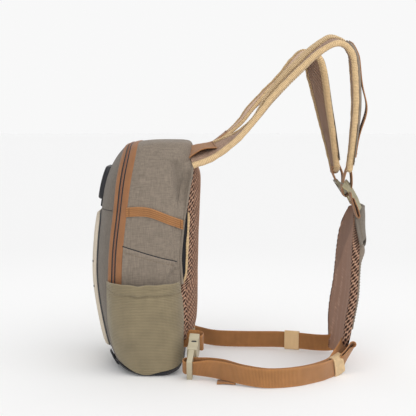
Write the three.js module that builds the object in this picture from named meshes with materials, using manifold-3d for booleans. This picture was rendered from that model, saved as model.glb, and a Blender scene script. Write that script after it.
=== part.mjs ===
// A fly fishing chest pack: a zipped shell bag worn on the chest, two padded shoulder straps that
// arch over to a back pad, and a pair of waist webbings. Millimetres, +Z up. The origin lies on the
// flat base of the bag, +X runs from the bag's front towards the wearer's back, -Y is the near side.
import * as THREE from 'three';
import { mergeVertices } from 'three/addons/utils/BufferGeometryUtils.js';
import Module from 'manifold-3d';

const wasm = await Module();
wasm.setup();

// Driving dimensions
const gap = 0.3;
const wall = 2;
const cloth = 1.2;
const reach = 200;
const webbing = { width: 22, thick: 1.6 };
const zip = { frontTape: 6.5, rearTape: 11, coilHalf: 1.3, end: 60, top: 300, tapeThick: 1.2 };
const pocket = { front: -47, back: 44, bottom: 5.4, hem: 115, thick: 1.5, gape: 11, slope: 0.15 };
const sideStart = 64;
const panel = { half: 45, bottom: 25, top: 196, corner: 24, thick: 3.4, flange: 2.5 };
const patch = { half: 30, bottom: 211, top: 252, corner: 9, thick: 5.5 };
const patchTab = { half: 7, bottom: 200.5, top: 210, corner: 2, thick: 2.4 };
const bottomLoop = { half: 10, bottom: 6, top: 21.5, corner: 0.8, middle: 38 };
const slider = { level: 214, half: 4, narrow: 3, tall: 6, low: 0.8, high: 4 };
const sliderPull = { half: 2, top: 5, bottom: 26, low: 1.6, high: 3.2 };
const strapBuild = { core: 6, edge: 7, binding: 8, round: 2.5, steps: 26, across: 4 };
const strapTip = { bulge: 6, tuck: 0.55, turns: 7 };
const endTab = { corners: [[86, -129], [108, -132], [109, -114], [87, -112]], thick: 2 };
const buckle = { width: 26, thick: 9, socket: 25, plug: 18.6, plugThick: 5, bar: 2.9, slot: 4.8 };
const lock = { width: 29, length: 26, thick: 4, bar: 4.6, slot: 6.1 };

// The bag's sections, from the base to the top: front and back of the middle, and half width
const bagRows = [
  { z: 1.5, front: -26, back: 33, half: 72 },
  { z: 5, front: -36, back: 40, half: 79 },
  { z: 13, front: -43, back: 44, half: 85 },
  { z: 27, front: -50, back: 46.5, half: 88 },
  { z: 48, front: -57, back: 46.5, half: 90 },
  { z: 92, front: -65.5, back: 44.5, half: 90 },
  { z: 125, front: -67, back: 41.5, half: 90 },
  { z: 168, front: -64, back: 43.5, half: 90 },
  { z: 196, front: -60, back: 47.5, half: 89.5 },
  { z: 225, front: -56, back: 53, half: 88 },
  { z: 245, front: -50.5, back: 57, half: 86 },
  { z: 262, front: -42, back: 58.5, half: 82 },
  { z: 274, front: -33, back: 57.5, half: 77 },
  { z: 282, front: -23, back: 53, half: 70 },
  { z: 287, front: -5, back: 43, half: 57 },
];
const bagRound = { front: 2.5, back: 5, points: 28 };

// The mesh panel on the bag's back: edge position, how far it domes, half width
const chestRows = [
  { z: 53, x: 50.2, dome: 5, half: 66 },
  { z: 62, x: 49.6, dome: 8, half: 73 },
  { z: 109, x: 49.4, dome: 11, half: 78 },
  { z: 142, x: 50, dome: 11.5, half: 78 },
  { z: 169, x: 51.6, dome: 11, half: 78 },
  { z: 193, x: 54.5, dome: 9.5, half: 78 },
  { z: 236, x: 60.2, dome: 6.5, half: 75 },
  { z: 246, x: 61.3, dome: 4, half: 70 },
];

// Shoulder straps: the edge towards the near side, roll, width and how far the section curls
const strapRows = {
  near: [
    { x: 58, y: -80, z: 257.5, roll: 13, width: 52, curl: 8 },
    { x: 80, y: -80, z: 265.2, roll: 15, width: 52, curl: 10 },
    { x: 97, y: -80, z: 275, roll: 12, width: 52, curl: 10 },
    { x: 114, y: -81, z: 290.3, roll: 3, width: 51, curl: 12 },
    { x: 132, y: -82, z: 309.3, roll: 5, width: 50, curl: 20 },
    { x: 150, y: -82, z: 334, roll: 8, width: 50, curl: 65 },
    { x: 168, y: -83, z: 356, roll: 8, width: 50, curl: 85 },
    { x: 189, y: -84, z: 376.5, roll: 8, width: 50, curl: 85 },
    { x: 207, y: -84, z: 391.5, roll: 9, width: 50, curl: 66 },
    { x: 227, y: -83, z: 402, roll: 12, width: 50, curl: 48 },
    { x: 240, y: -81, z: 400.5, roll: 10, width: 50, curl: 40 },
    { x: 248, y: -79, z: 391.5, roll: 8, width: 50, curl: 32 },
    { x: 252, y: -76, z: 376, roll: 5, width: 50, curl: 22 },
    { x: 255.8, y: -65, z: 329, roll: 5, width: 48, curl: 10 },
    { x: 254, y: -53, z: 280, roll: 5, width: 44, curl: 8 },
    { x: 251.5, y: -46, z: 249, roll: 5, width: 38, curl: 4 },
  ],
  far: [
    { x: 58, y: 29, z: 262, roll: 2, width: 52, curl: 8 },
    { x: 92, y: 30, z: 285.5, roll: 4, width: 52, curl: 14 },
    { x: 117.5, y: 29, z: 306, roll: 7, width: 51, curl: 20 },
    { x: 132, y: 28, z: 323.5, roll: 9, width: 50, curl: 30 },
    { x: 150, y: 28, z: 346, roll: 7, width: 50, curl: 55 },
    { x: 172.5, y: 28, z: 368, roll: 7, width: 50, curl: 60 },
    { x: 192, y: 28, z: 388.5, roll: 8, width: 50, curl: 40 },
    { x: 207, y: 28, z: 400, roll: 6, width: 50, curl: 26 },
    { x: 221.5, y: 28, z: 394, roll: -9, width: 50, curl: 20 },
    { x: 229, y: 27, z: 374, roll: -17, width: 50, curl: 18 },
    { x: 234.5, y: 23, z: 328.5, roll: -14, width: 48, curl: 15 },
    { x: 238.5, y: 17, z: 295.5, roll: -9, width: 45, curl: 10 },
    { x: 243, y: 9, z: 251, roll: -3, width: 38, curl: 4 },
  ],
};

// Lengths along a strap, as a share of its rows, of what is sewn on its outer face
const strapTrim = {
  loop: { from: 0.02, to: 0.1, half: 12, lift: 5 },
  cover: { from: 0.725, to: 0.975, half: 15 },
  runner: { from: 0.73, to: 0.962, half: 11, lift: 6.5, peak: 0.835, spread: 0.06 },
  webbing: { inside: 0.964, outside: 0.988 },
};

// The back pad from its lowest point up: inner face, half width, thickness at the middle
const backRows = [
  { z: 9, x: 239.5, half: 26, thick: 5 },
  { z: 17, x: 241, half: 44, thick: 8 },
  { z: 30, x: 242.5, half: 64, thick: 10 },
  { z: 45, x: 243.8, half: 78, thick: 11 },
  { z: 65, x: 246, half: 82, thick: 12 },
  { z: 93, x: 250.5, half: 82, thick: 12 },
  { z: 125, x: 253, half: 78, thick: 12 },
  { z: 155, x: 255, half: 70, thick: 12 },
  { z: 174, x: 257.5, half: 56, thick: 11 },
  { z: 190, x: 260.5, half: 40, thick: 9 },
  { z: 200, x: 262.5, half: 30, thick: 6 },
];
const backForm = { edge: 5, hollow: 4, crown: 2 };
const backCover = { bottom: 56, top: 200.5, inset: 2, thick: 1.5 };
const yokeFlap = { bottom: 148, top: 200.5, inset: 4, thick: 1.8, lift: 5.5 };

// Waist webbings, along the middle of their width, with how far the top edge leans to the near side;
// the near one turns back round its buckle bar
const waistRows = {
  near: [
    { x: 249, y: -64, z: 43, lean: 0 },
    { x: 237, y: -77, z: 27.5, lean: 0 },
    { x: 225, y: -87, z: 14, lean: 0 },
    { x: 208, y: -108.5, z: 11.3, lean: 0 },
    { x: 180, y: -131, z: 11.3, lean: 0 },
    { x: 147, y: -140, z: 11.5, lean: 0 },
    { x: 118, y: -131, z: 13.6, lean: 0 },
    { x: 96, y: -111, z: 15, lean: 0 },
    { x: 79, y: -101, z: 15.5, lean: 10 },
    { x: 67, y: -100.6, z: 17.2, lean: 24 },
    { x: 55, y: -101.1, z: 18.6, lean: 34 },
    { x: 48, y: -101.9, z: 18.2, lean: 34 },
    { x: 45.6, y: -104.3, z: 16.5, lean: 34 },
    { x: 48, y: -106.8, z: 14.8, lean: 34 },
    { x: 55, y: -107.5, z: 14.3, lean: 34 },
    { x: 67, y: -108.6, z: 14.2, lean: 24 },
    { x: 79, y: -112.5, z: 14.8, lean: 10 },
    { x: 96, y: -124.5, z: 15, lean: 0 },
    { x: 121, y: -140, z: 13, lean: 0 },
    { x: 147, y: -146, z: 11.5, lean: 0 },
    { x: 180, y: -137, z: 11.3, lean: 0 },
    { x: 209, y: -115, z: 11.3, lean: 0 },
    { x: 228.5, y: -92, z: 14.5, lean: 0 },
    { x: 241, y: -82, z: 29, lean: 0 },
    { x: 253.5, y: -74, z: 42, lean: 0 },
  ],
  far: [
    { x: 52, y: 99, z: 14.5, lean: -20 },
    { x: 66, y: 91, z: 12.6, lean: -8 },
    { x: 82, y: 81, z: 11.5, lean: 0 },
    { x: 100, y: 75, z: 11.3, lean: 0 },
    { x: 128, y: 72, z: 11.3, lean: 0 },
    { x: 150, y: 69, z: 11.8, lean: 0 },
    { x: 174, y: 62.5, z: 12.9, lean: 0 },
    { x: 200, y: 54, z: 12.9, lean: 0 },
    { x: 222, y: 47.5, z: 12, lean: 0 },
    { x: 236, y: 44, z: 16, lean: 0 },
    { x: 246, y: 42, z: 25, lean: 0 },
  ],
};

// The short webbings that hold the buckles at the lower corners of the bag's back
const anchorRows = [
  { x: 42, y: -62, z: 41, lean: 0 },
  { x: 57, y: -62.5, z: 41, lean: 0 },
  { x: 66, y: -65, z: 40, lean: 0 },
  { x: 69.5, y: -69.5, z: 38.5, lean: 10 },
  { x: 66.5, y: -73.4, z: 37.6, lean: 24 },
  { x: 58, y: -74.6, z: 36.6, lean: 34 },
];
const buckleRun = {
  near: { start: new THREE.Vector3(58.5, -76, 35.7), end: new THREE.Vector3(53.5, -112, 11.2) },
  far: { start: new THREE.Vector3(58.5, 76, 35.7), end: new THREE.Vector3(54.5, 102, 13) },
};

const colours = {
  taupe: '#89806f',
  orange: '#b07a48',
  olive: '#8a8164',
  mesh: '#8a6a5a',
  beige: '#d2b98a',
  tan: '#a07042',
  buckle: '#beb696',
  cream: '#d6ccba',
  black: '#28282d',
};

const pack = new THREE.Group();

function addPiece(name, geometry, colour, roughness = 0.9) {
  const material = new THREE.MeshStandardMaterial({ color: colours[colour], roughness, metalness: 0 });
  const mesh = new THREE.Mesh(facingOut(geometry), material);
  mesh.name = name;
  pack.add(mesh);
}

// A geometry turned so that its faces point out
function facingOut(geometry) {
  const place = geometry.attributes.position;
  const index = geometry.index.array;
  const corner = [0, 1, 2].map(() => new THREE.Vector3());
  let volume = 0;
  for (let i = 0; i < index.length; i += 3) {
    corner.forEach((point, k) => point.fromBufferAttribute(place, index[i + k]));
    volume += corner[0].dot(corner[1].clone().cross(corner[2]));
  }
  if (volume > 0) return geometry;
  for (let i = 0; i < index.length; i += 3) {
    const first = index[i];
    index[i] = index[i + 1];
    index[i + 1] = first;
  }
  return geometry;
}

// Smooth values between the rows of a table, found by one of its columns
function tableCurve(rows, by) {
  const columns = Object.keys(rows[0]);
  const last = rows.length - 1;
  const slope = (k, column) => {
    const before = rows[Math.max(k - 1, 0)];
    const after = rows[Math.min(k + 1, last)];
    return (after[column] - before[column]) / (after[by] - before[by]);
  };
  return (value) => {
    const next = rows.findIndex((row) => row[by] > value);
    const i = next < 0 ? last - 1 : Math.max(next - 1, 0);
    const span = rows[i + 1][by] - rows[i][by];
    const t = THREE.MathUtils.clamp((value - rows[i][by]) / span, 0, 1);
    const blend = t * t * (3 - 2 * t);
    const found = {};
    for (const column of columns) {
      const rise = rows[i][column] + (rows[i + 1][column] - rows[i][column]) * blend;
      const start = slope(i, column) * span * t * (1 - t) * (1 - t);
      const end = slope(i + 1, column) * span * t * t * (1 - t);
      found[column] = rise + start - end;
    }
    return found;
  };
}

function numbered(rows) {
  return rows.map((row, at) => ({ at, ...row }));
}

function indexedGeometry(points, triangles) {
  const geometry = new THREE.BufferGeometry();
  geometry.setFromPoints(points);
  geometry.setIndex(new THREE.BufferAttribute(new Uint32Array(triangles), 1));
  return geometry;
}

// Closed solid through rings of points, with a fan on each end
function skinRings(rings) {
  const around = rings[0].length;
  const points = rings.flat();
  const triangles = [];
  for (let i = 0; i + 1 < rings.length; i += 1) {
    for (let j = 0; j < around; j += 1) {
      const a = i * around + j;
      const b = i * around + (j + 1) % around;
      triangles.push(a, b, a + around, b, b + around, a + around);
    }
  }
  for (const [ring, start] of [[rings[0], 0], [rings.at(-1), (rings.length - 1) * around]]) {
    const middle = ring.reduce((sum, point) => sum.add(point), new THREE.Vector3());
    const hub = points.push(middle.divideScalar(around)) - 1;
    for (let j = 0; j < around; j += 1) {
      const a = start + j;
      const b = start + (j + 1) % around;
      triangles.push(...(start === 0 ? [b, a, hub] : [a, b, hub]));
    }
  }
  return indexedGeometry(points, triangles);
}

// Closed solid between an outer and an inner face on one grid; face(along, across, side) with the
// first two from 0 to 1 and side 1 outside, -1 inside
function slab(steps, across, face) {
  const points = [];
  const triangles = [];
  const row = across + 1;
  const size = (steps + 1) * row;
  for (const side of [1, -1]) {
    for (let i = 0; i <= steps; i += 1) {
      for (let j = 0; j <= across; j += 1) points.push(face(i / steps, j / across, side));
    }
  }
  const quad = (a, b, c, d) => triangles.push(a, b, c, a, c, d);
  for (let i = 0; i < steps; i += 1) {
    for (let j = 0; j < across; j += 1) {
      const a = i * row + j;
      quad(a, a + row, a + row + 1, a + 1);
      quad(size + a, size + a + 1, size + a + row + 1, size + a + row);
    }
    const near = i * row;
    const far = near + across;
    quad(near, size + near, size + near + row, near + row);
    quad(far, far + row, size + far + row, size + far);
  }
  for (let j = 0; j < across; j += 1) {
    const end = steps * row + j;
    quad(j, j + 1, size + j + 1, size + j);
    quad(end, size + end, size + end + 1, end + 1);
  }
  return indexedGeometry(points, triangles);
}

// Joins and cuts
function toSolid(geometry) {
  const bare = geometry.clone();
  bare.deleteAttribute('normal');
  bare.deleteAttribute('uv');
  const merged = facingOut(mergeVertices(bare, 1e-4));
  const vertProperties = new Float32Array(merged.attributes.position.array);
  const triVerts = new Uint32Array(merged.index.array);
  return new wasm.Manifold(new wasm.Mesh({ numProp: 3, vertProperties, triVerts }));
}

function toGeometry(solid) {
  const mesh = solid.getMesh();
  const geometry = new THREE.BufferGeometry();
  geometry.setAttribute('position', new THREE.BufferAttribute(mesh.vertProperties, 3));
  geometry.setIndex(new THREE.BufferAttribute(mesh.triVerts, 1));
  return geometry;
}

// A prism across the bag with its outline in X and Z; side -1 keeps to the near side, 1 to the far
// side, and 0 goes right through
function sidePrism(outline, side) {
  const points = outline.map(([x, z]) => new THREE.Vector2(x, z));
  const depth = side === 0 ? 2 * reach : reach - sideStart;
  const geometry = new THREE.ExtrudeGeometry(new THREE.Shape(points), { depth, bevelEnabled: false });
  geometry.rotateX(Math.PI / 2);
  geometry.translate(0, side === -1 ? -sideStart : reach, 0);
  return toSolid(geometry);
}

function roundedShape(low, high, radius) {
  const shape = new THREE.Shape();
  shape.moveTo(low.x + radius, low.y);
  shape.lineTo(high.x - radius, low.y);
  shape.absarc(high.x - radius, low.y + radius, radius, -Math.PI / 2, 0);
  shape.lineTo(high.x, high.y - radius);
  shape.absarc(high.x - radius, high.y - radius, radius, 0, Math.PI / 2);
  shape.lineTo(low.x + radius, high.y);
  shape.absarc(low.x + radius, high.y - radius, radius, Math.PI / 2, Math.PI);
  shape.lineTo(low.x, low.y + radius);
  shape.absarc(low.x + radius, low.y + radius, radius, Math.PI, 1.5 * Math.PI);
  return shape;
}

// A prism through the bag's front with its outline in Y and Z
function frontPrism(half, bottom, top, corner, middle = 0) {
  const low = new THREE.Vector2(middle - half, bottom);
  const high = new THREE.Vector2(middle + half, top);
  const settings = { depth: reach, bevelEnabled: false, curveSegments: 4 };
  const geometry = new THREE.ExtrudeGeometry(roundedShape(low, high, corner), settings);
  const axes = [new THREE.Vector3(0, 1, 0), new THREE.Vector3(0, 0, 1), new THREE.Vector3(1, 0, 0)];
  geometry.applyMatrix4(new THREE.Matrix4().makeBasis(...axes));
  geometry.translate(-reach, 0, 0);
  return toSolid(geometry);
}

// The bag's form, moved out by an offset that may change over the surface
const bagAt = tableCurve(bagRows, 'z');
const bagLevels = [...bagRows.map((row) => row.z), 70, 108, 146].sort((a, b) => a - b);
const bagMiddle = (bagRows[0].z + bagRows.at(-1).z) / 2;
const bagHalfHeight = bagRows.at(-1).z - bagMiddle;

function bagPoint(level, angle, offset) {
  const row = bagAt(level);
  const middle = (row.front + row.back) / 2;
  const depth = (row.back - row.front) / 2;
  const power = 2 / (Math.cos(angle) < 0 ? bagRound.front : bagRound.back);
  const part = (value) => Math.sign(value) * Math.abs(value) ** power;
  const x = middle + depth * part(Math.cos(angle));
  const out = typeof offset === 'function' ? offset(x, level) : offset;
  const grown = (depth + out) / depth;
  const wide = (row.half + out) * part(Math.sin(angle));
  const high = bagMiddle + (level - bagMiddle) * (1 + out / bagHalfHeight);
  return new THREE.Vector3(middle + (x - middle) * grown, wide, high);
}

function bagForm(offset) {
  const rings = bagLevels.map((level) => {
    const angles = Array.from({ length: bagRound.points }, (_, j) => (2 * Math.PI * j) / bagRound.points);
    return angles.map((angle) => bagPoint(level, angle, offset));
  });
  return toSolid(skinRings(rings));
}

function bagSkin(inside, outside) {
  return bagForm(outside).subtract(bagForm(inside));
}

// The zip's line over the bag, seen from the side
function zipX(z) {
  const down = 281 - z;
  return -21 - 0.19 * down + 0.00045 * down * down;
}

function zipEdge(shift) {
  const levels = Array.from({ length: 9 }, (_, i) => THREE.MathUtils.lerp(zip.end, zip.top, i / 8));
  return levels.map((z) => [zipX(z) + shift, z]);
}

function zipBand(from, to, inside, outside) {
  const outline = [...zipEdge(from), ...zipEdge(to).reverse()];
  return bagSkin(inside, outside).intersect(sidePrism(outline, 0));
}

function addShells() {
  const shell = bagForm(0).subtract(bagForm(-wall));
  const seam = zipX(zip.end) + 2;
  const floor = -20;
  const frontEdge = zipEdge(-zip.frontTape - gap);
  const rearEdge = zipEdge(zip.rearTape + gap);
  const front = [[-reach, floor], [seam - gap / 2, floor], [seam - gap / 2, zip.end]];
  front.push(...frontEdge, [-reach, zip.top]);
  const rear = [[reach, floor], [reach, zip.top], ...rearEdge.reverse(), [seam + gap / 2, zip.end]];
  rear.push([seam + gap / 2, floor]);
  addPiece('front_shell', toGeometry(shell.intersect(sidePrism(front, 0))), 'taupe');
  addPiece('body_shell', toGeometry(shell.intersect(sidePrism(rear, 0))), 'taupe');
}

function addZip() {
  const { coilHalf, tapeThick } = zip;
  const inside = -tapeThick - gap;
  const frontTape = zipBand(-zip.frontTape, -coilHalf - gap, inside, -gap);
  const rearTape = zipBand(coilHalf + gap, zip.rearTape, inside, -gap);
  addPiece('zip_tape_front', toGeometry(frontTape), 'orange');
  addPiece('zip_tape_rear', toGeometry(rearTape), 'orange');
  addPiece('zip_coil', toGeometry(zipBand(-coilHalf, coilHalf, inside, 0.5)), 'black', 0.5);
  const { level, half, narrow, tall } = slider;
  const x = zipX(level);
  const body = sidePrism([[x - half, level - tall], [x + half, level - tall], [x + narrow, level + tall],
    [x - narrow, level + tall]], 1);
  const low = level - sliderPull.bottom;
  const high = level - sliderPull.top;
  const front = x - sliderPull.half;
  const rear = x + sliderPull.half;
  const pull = sidePrism([[front, low], [rear, low], [rear, high], [front, high]], 1);
  const pullPlate = bagSkin(sliderPull.low, sliderPull.high).intersect(pull);
  const whole = bagSkin(slider.low, slider.high).intersect(body).add(pullPlate);
  addPiece('zip_slider', toGeometry(whole), 'black', 0.4);
}

function addSideTrim(side, name) {
  const bandLine = [[-19, 200.5], [-8, 201.2], [5, 200], [19, 195], [32, 189.5], [49, 183]];
  const bandHalf = 5.7;
  const upper = bandLine.map(([x, z]) => [x, z + bandHalf]);
  const lower = bandLine.map(([x, z]) => [x, z - bandHalf]).reverse();
  const band = bagSkin(gap, gap + webbing.thick).intersect(sidePrism([...upper, ...lower], side));
  addPiece(`side_band_${name}`, toGeometry(band), 'orange');
  const slipTop = [[zipX(156) + zip.rearTape + 0.6, 156.5], [2, 149.2], [22, 143.6], [43, 137.6]];
  const slipOutline = [...slipTop, [43, 20], [-14, 20], [zipX(90) + zip.rearTape + 0.6, 62]];
  const slip = bagSkin(gap, gap + cloth).intersect(sidePrism(slipOutline, side));
  addPiece(`slip_panel_${name}`, toGeometry(slip), 'taupe');
}

// The stretch pocket gapes from the bag's side at its hem and lies on it at its edges
function pocketOffset(x, z) {
  const middle = (pocket.front + pocket.back) / 2;
  const half = (pocket.back - pocket.front) / 2;
  const across = Math.max(0, 1 - ((x - middle) / half) ** 2);
  const rise = THREE.MathUtils.smoothstep(z, pocket.bottom + 6, pocket.hem - 25);
  const seat = gap + (cloth + 2 * gap) * THREE.MathUtils.smoothstep(x, pocket.front, pocket.front + 12);
  return seat + pocket.gape * across * rise;
}

function addPocket(side, name) {
  const baseLine = (x) => pocket.bottom + pocket.slope * (x + 18);
  const shape = new THREE.Shape();
  shape.moveTo(pocket.front, pocket.hem);
  shape.lineTo(pocket.front, 42);
  shape.quadraticCurveTo(-40, 18, -18, baseLine(-18));
  shape.lineTo(pocket.back - 8, baseLine(pocket.back - 8));
  shape.quadraticCurveTo(pocket.back, baseLine(pocket.back), pocket.back, baseLine(pocket.back) + 8);
  shape.lineTo(pocket.back, pocket.hem + 1.5);
  const outline = shape.getPoints(5).map((point) => [point.x, point.y]);
  const outer = bagForm((x, z) => pocketOffset(x, z) + pocket.thick);
  const skin = outer.subtract(bagForm(pocketOffset));
  addPiece(`stretch_pocket_${name}`, toGeometry(skin.intersect(sidePrism(outline, side))), 'olive');
}

function addFront() {
  const { half, bottom, top, corner, flange } = panel;
  const trim = frontPrism(half + flange, bottom - flange, top + flange, corner + flange);
  const face = frontPrism(half, bottom, top, corner);
  const trimTop = gap + cloth;
  addPiece('front_panel_trim', toGeometry(bagSkin(gap, trimTop).intersect(trim)), 'black');
  const moulded = bagSkin(trimTop + gap, trimTop + gap + panel.thick).intersect(face);
  addPiece('front_panel', toGeometry(moulded), 'cream', 0.7);
  const flyPatch = frontPrism(patch.half, patch.bottom, patch.top, patch.corner);
  addPiece('front_patch', toGeometry(bagSkin(gap, gap + patch.thick).intersect(flyPatch)), 'black', 0.6);
  const tab = frontPrism(patchTab.half, patchTab.bottom, patchTab.top, patchTab.corner);
  addPiece('patch_tab', toGeometry(bagSkin(gap, gap + patchTab.thick).intersect(tab)), 'black');
  for (const [name, middle] of [['near', -bottomLoop.middle], ['far', bottomLoop.middle]]) {
    const strip = frontPrism(bottomLoop.half, bottomLoop.bottom, bottomLoop.top, bottomLoop.corner, middle);
    const loop = bagSkin(gap + cloth + gap, 2 * (gap + cloth) + webbing.thick).intersect(strip);
    addPiece(`bottom_loop_${name}`, toGeometry(loop), 'black');
  }
  const baseOutline = [[-70, -20], [70, -20], [70, 17.3], [-19, 4.4], [-34, 7], [-48, 14], [-70, 14]];
  const base = bagSkin(gap, gap + cloth).intersect(sidePrism(baseOutline, 0));
  addPiece('base_panel', toGeometry(base), 'black');
}

// Domed pad of mesh on the bag's back, with its binding round the edge
const chestAt = tableCurve(chestRows, 'z');
const chestBinding = { width: 5, thick: 6 };
const chestEdge = 2.4;

function addChestPad() {
  const low = chestRows[0].z;
  const high = chestRows.at(-1).z;
  const pad = slab(10, 6, (along, across, side) => {
    const row = chestAt(THREE.MathUtils.lerp(low, high, along));
    const v = 2 * across - 1;
    const u = 2 * along - 1;
    const bulge = row.dome * (1 - Math.abs(v) ** 4) * (1 - u ** 8);
    const x = side > 0 ? row.x + chestEdge + bulge : row.x - chestEdge;
    return new THREE.Vector3(x, (row.half - 1) * v, THREE.MathUtils.lerp(low + 1, high - 1, along));
  });
  const edge = [];
  const levels = 10;
  for (const side of [-1, 1]) {
    for (let i = 0; i <= levels; i += 1) {
      const z = THREE.MathUtils.lerp(low, high, side < 0 ? i / levels : 1 - i / levels);
      edge.push(new THREE.Vector3(chestAt(z).x, side * chestAt(z).half, z));
    }
  }
  const { width, thick } = chestBinding;
  const room = toSolid(closedBand(edge, { width: width + gap, thick: 8 * thick }));
  addPiece('chest_pad', toGeometry(toSolid(pad).subtract(room)), 'mesh');
  addPiece('chest_pad_binding', closedBand(edge, chestBinding), 'beige');
}

// A flat band round a closed edge in the back panel's plane, its width towards the middle
function closedBand(edge, { width, thick }) {
  const middle = edge.reduce((sum, point) => sum.add(point), new THREE.Vector3()).divideScalar(edge.length);
  const points = [];
  const triangles = [];
  for (const point of edge) {
    const lowEnd = Math.abs(point.z - chestRows[0].z) < 1;
    const highEnd = Math.abs(point.z - chestRows.at(-1).z) < 1;
    const inner = point.clone();
    inner.y -= Math.sign(point.y - middle.y) * width;
    if (lowEnd) inner.z += width;
    if (highEnd) inner.z -= width;
    for (const [base, shift] of [[point, -1], [point, 1], [inner, 1], [inner, -1]]) {
      points.push(new THREE.Vector3(base.x + (shift * thick) / 2, base.y, base.z));
    }
  }
  for (let i = 0; i < edge.length; i += 1) {
    const next = (i + 1) % edge.length;
    for (let k = 0; k < 4; k += 1) {
      const a = 4 * i + k;
      const b = 4 * i + (k + 1) % 4;
      const c = 4 * next + (k + 1) % 4;
      const d = 4 * next + k;
      triangles.push(a, b, c, a, c, d);
    }
  }
  return indexedGeometry(points, triangles);
}

// A strap's place and directions at a share of its length
function strapFrames(rows) {
  const at = tableCurve(numbered(rows), 'at');
  const last = rows.length - 1;
  const edgeAt = (share) => {
    const row = at(share * last);
    return new THREE.Vector3(row.x, row.y, row.z);
  };
  return (share) => {
    const row = at(share * last);
    const step = 0.004;
    const ahead = edgeAt(Math.min(share + step, 1)).sub(edgeAt(Math.max(share - step, 0))).normalize();
    const across = new THREE.Vector3(0, 1, 0).addScaledVector(ahead, -ahead.y).normalize();
    const outer = ahead.clone().cross(across);
    const roll = THREE.MathUtils.degToRad(row.roll);
    const width = across.clone().multiplyScalar(Math.cos(roll)).addScaledVector(outer, Math.sin(roll));
    const normal = outer.clone().multiplyScalar(Math.cos(roll)).addScaledVector(across, -Math.sin(roll));
    const curl = THREE.MathUtils.degToRad(Math.max(row.curl, 1));
    const radius = row.width / curl;
    const centre = edgeAt(share).addScaledVector(width, radius * Math.sin(curl / 2));
    centre.addScaledVector(normal, -radius * (1 - Math.cos(curl / 2)));
    return { centre, ahead, width, normal, radius, half: row.width / 2 };
  };
}

// A point on a curled strap: distance across from its middle, and height over its mid surface
function strapPoint(frame, across, height) {
  const angle = across / frame.radius;
  const sideways = frame.radius * Math.sin(angle) - height * Math.sin(angle);
  const up = frame.radius * (1 - Math.cos(angle)) + height * Math.cos(angle);
  return frame.centre.clone().addScaledVector(frame.width, sideways).addScaledVector(frame.normal, up);
}

function bindingRing(frame, edge) {
  const { binding, round, edge: thick } = strapBuild;
  const inner = edge * (frame.half - binding);
  const outer = edge * frame.half;
  const shoulder = edge * (frame.half - round);
  const halfThick = thick / 2;
  const lip = halfThick - round / 2;
  const section = [[inner, -halfThick], [shoulder, -halfThick], [outer, -lip], [outer, lip],
    [shoulder, halfThick], [inner, halfThick]];
  return section.map(([across, height]) => strapPoint(frame, across, height));
}

// The binding runs along one edge, round the strap's end and back along the other edge
function strapBinding(frames) {
  const rings = [];
  const { steps, binding, round, edge: thick } = strapBuild;
  for (let i = 0; i <= steps; i += 1) {
    rings.push(bindingRing(frames(i / steps), -1));
  }
  const end = frames(1);
  for (let i = 1; i < strapTip.turns; i += 1) {
    const angle = (Math.PI * i) / strapTip.turns;
    const reachOut = new THREE.Vector3().addScaledVector(end.width, -Math.cos(angle));
    const lip = (thick - round) / 2;
    const section = [[binding, -thick / 2], [round, -thick / 2], [0, -lip], [0, lip], [round, thick / 2],
      [binding, thick / 2]];
    rings.push(section.map(([inset, height]) => end.centre.clone()
      .addScaledVector(reachOut, end.half - inset)
      .addScaledVector(end.ahead, Math.sin(angle) * (strapTip.bulge - inset * strapTip.tuck) + 2 * gap)
      .addScaledVector(end.normal, height)));
  }
  for (let i = steps; i >= 0; i -= 1) {
    rings.push(bindingRing(frames(i / steps), 1));
  }
  return skinRings(rings);
}

// A strip of cloth or webbing lying on a strap's outer face
function strapStrip(frames, { from, to, half }, thick, lift) {
  return slab(14, 2, (along, across, side) => {
    const frame = frames(THREE.MathUtils.lerp(from, to, along));
    const height = lift(THREE.MathUtils.lerp(from, to, along)) + (side > 0 ? thick : 0);
    return strapPoint(frame, (2 * across - 1) * half, height);
  });
}

function addStrap(name) {
  const frames = strapFrames(strapRows[name]);
  const { core, binding, steps, across: wide } = strapBuild;
  const padFace = slab(steps, wide, (along, across, side) => {
    const frame = frames(along);
    const half = frame.half - binding - 3 * gap;
    return strapPoint(frame, (2 * across - 1) * half, (side * core) / 2);
  });
  const bag = bagForm(gap);
  addPiece(`strap_${name}`, toGeometry(toSolid(padFace).subtract(bag)), 'mesh');
  const bound = toSolid(strapBinding(frames)).subtract(bag);
  addPiece(`strap_binding_${name}`, toGeometry(bound), 'beige');
  const { loop, cover, runner } = strapTrim;
  const seat = strapBuild.edge / 2 + gap;
  const hump = (share) => loop.lift * Math.sin(Math.PI * (share - loop.from) / (loop.to - loop.from));
  const strip = strapStrip(frames, loop, webbing.thick, (share) => core / 2 + gap + hump(share));
  addPiece(`strap_loop_${name}`, toGeometry(toSolid(strip).subtract(bagForm(gap))), 'orange');
  addPiece(`strap_cover_${name}`, strapStrip(frames, cover, cloth, () => seat), 'taupe');
  const bow = (share) => runner.lift * Math.exp(-(((share - runner.peak) / runner.spread) ** 2));
  const over = seat + cloth + gap;
  const run = strapStrip(frames, runner, webbing.thick, (share) => over + bow(share));
  addPiece(`strap_runner_${name}`, run, 'orange');
}

// A flat ribbon through table rows; its width stands up, leaning by each row's angle
function ribbonFrames(rows) {
  const at = tableCurve(numbered(rows), 'at');
  const last = rows.length - 1;
  const placeAt = (share) => {
    const row = at(share * last);
    return new THREE.Vector3(row.x, row.y, row.z);
  };
  return (share) => {
    const step = 0.003;
    const ahead = placeAt(Math.min(share + step, 1)).sub(placeAt(Math.max(share - step, 0))).normalize();
    const lean = THREE.MathUtils.degToRad(at(share * last).lean);
    const upright = new THREE.Vector3(0, -Math.sin(lean), Math.cos(lean));
    const width = upright.addScaledVector(ahead, -ahead.dot(upright)).normalize();
    return { centre: placeAt(share), ahead, width, normal: ahead.clone().cross(width) };
  };
}

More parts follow.
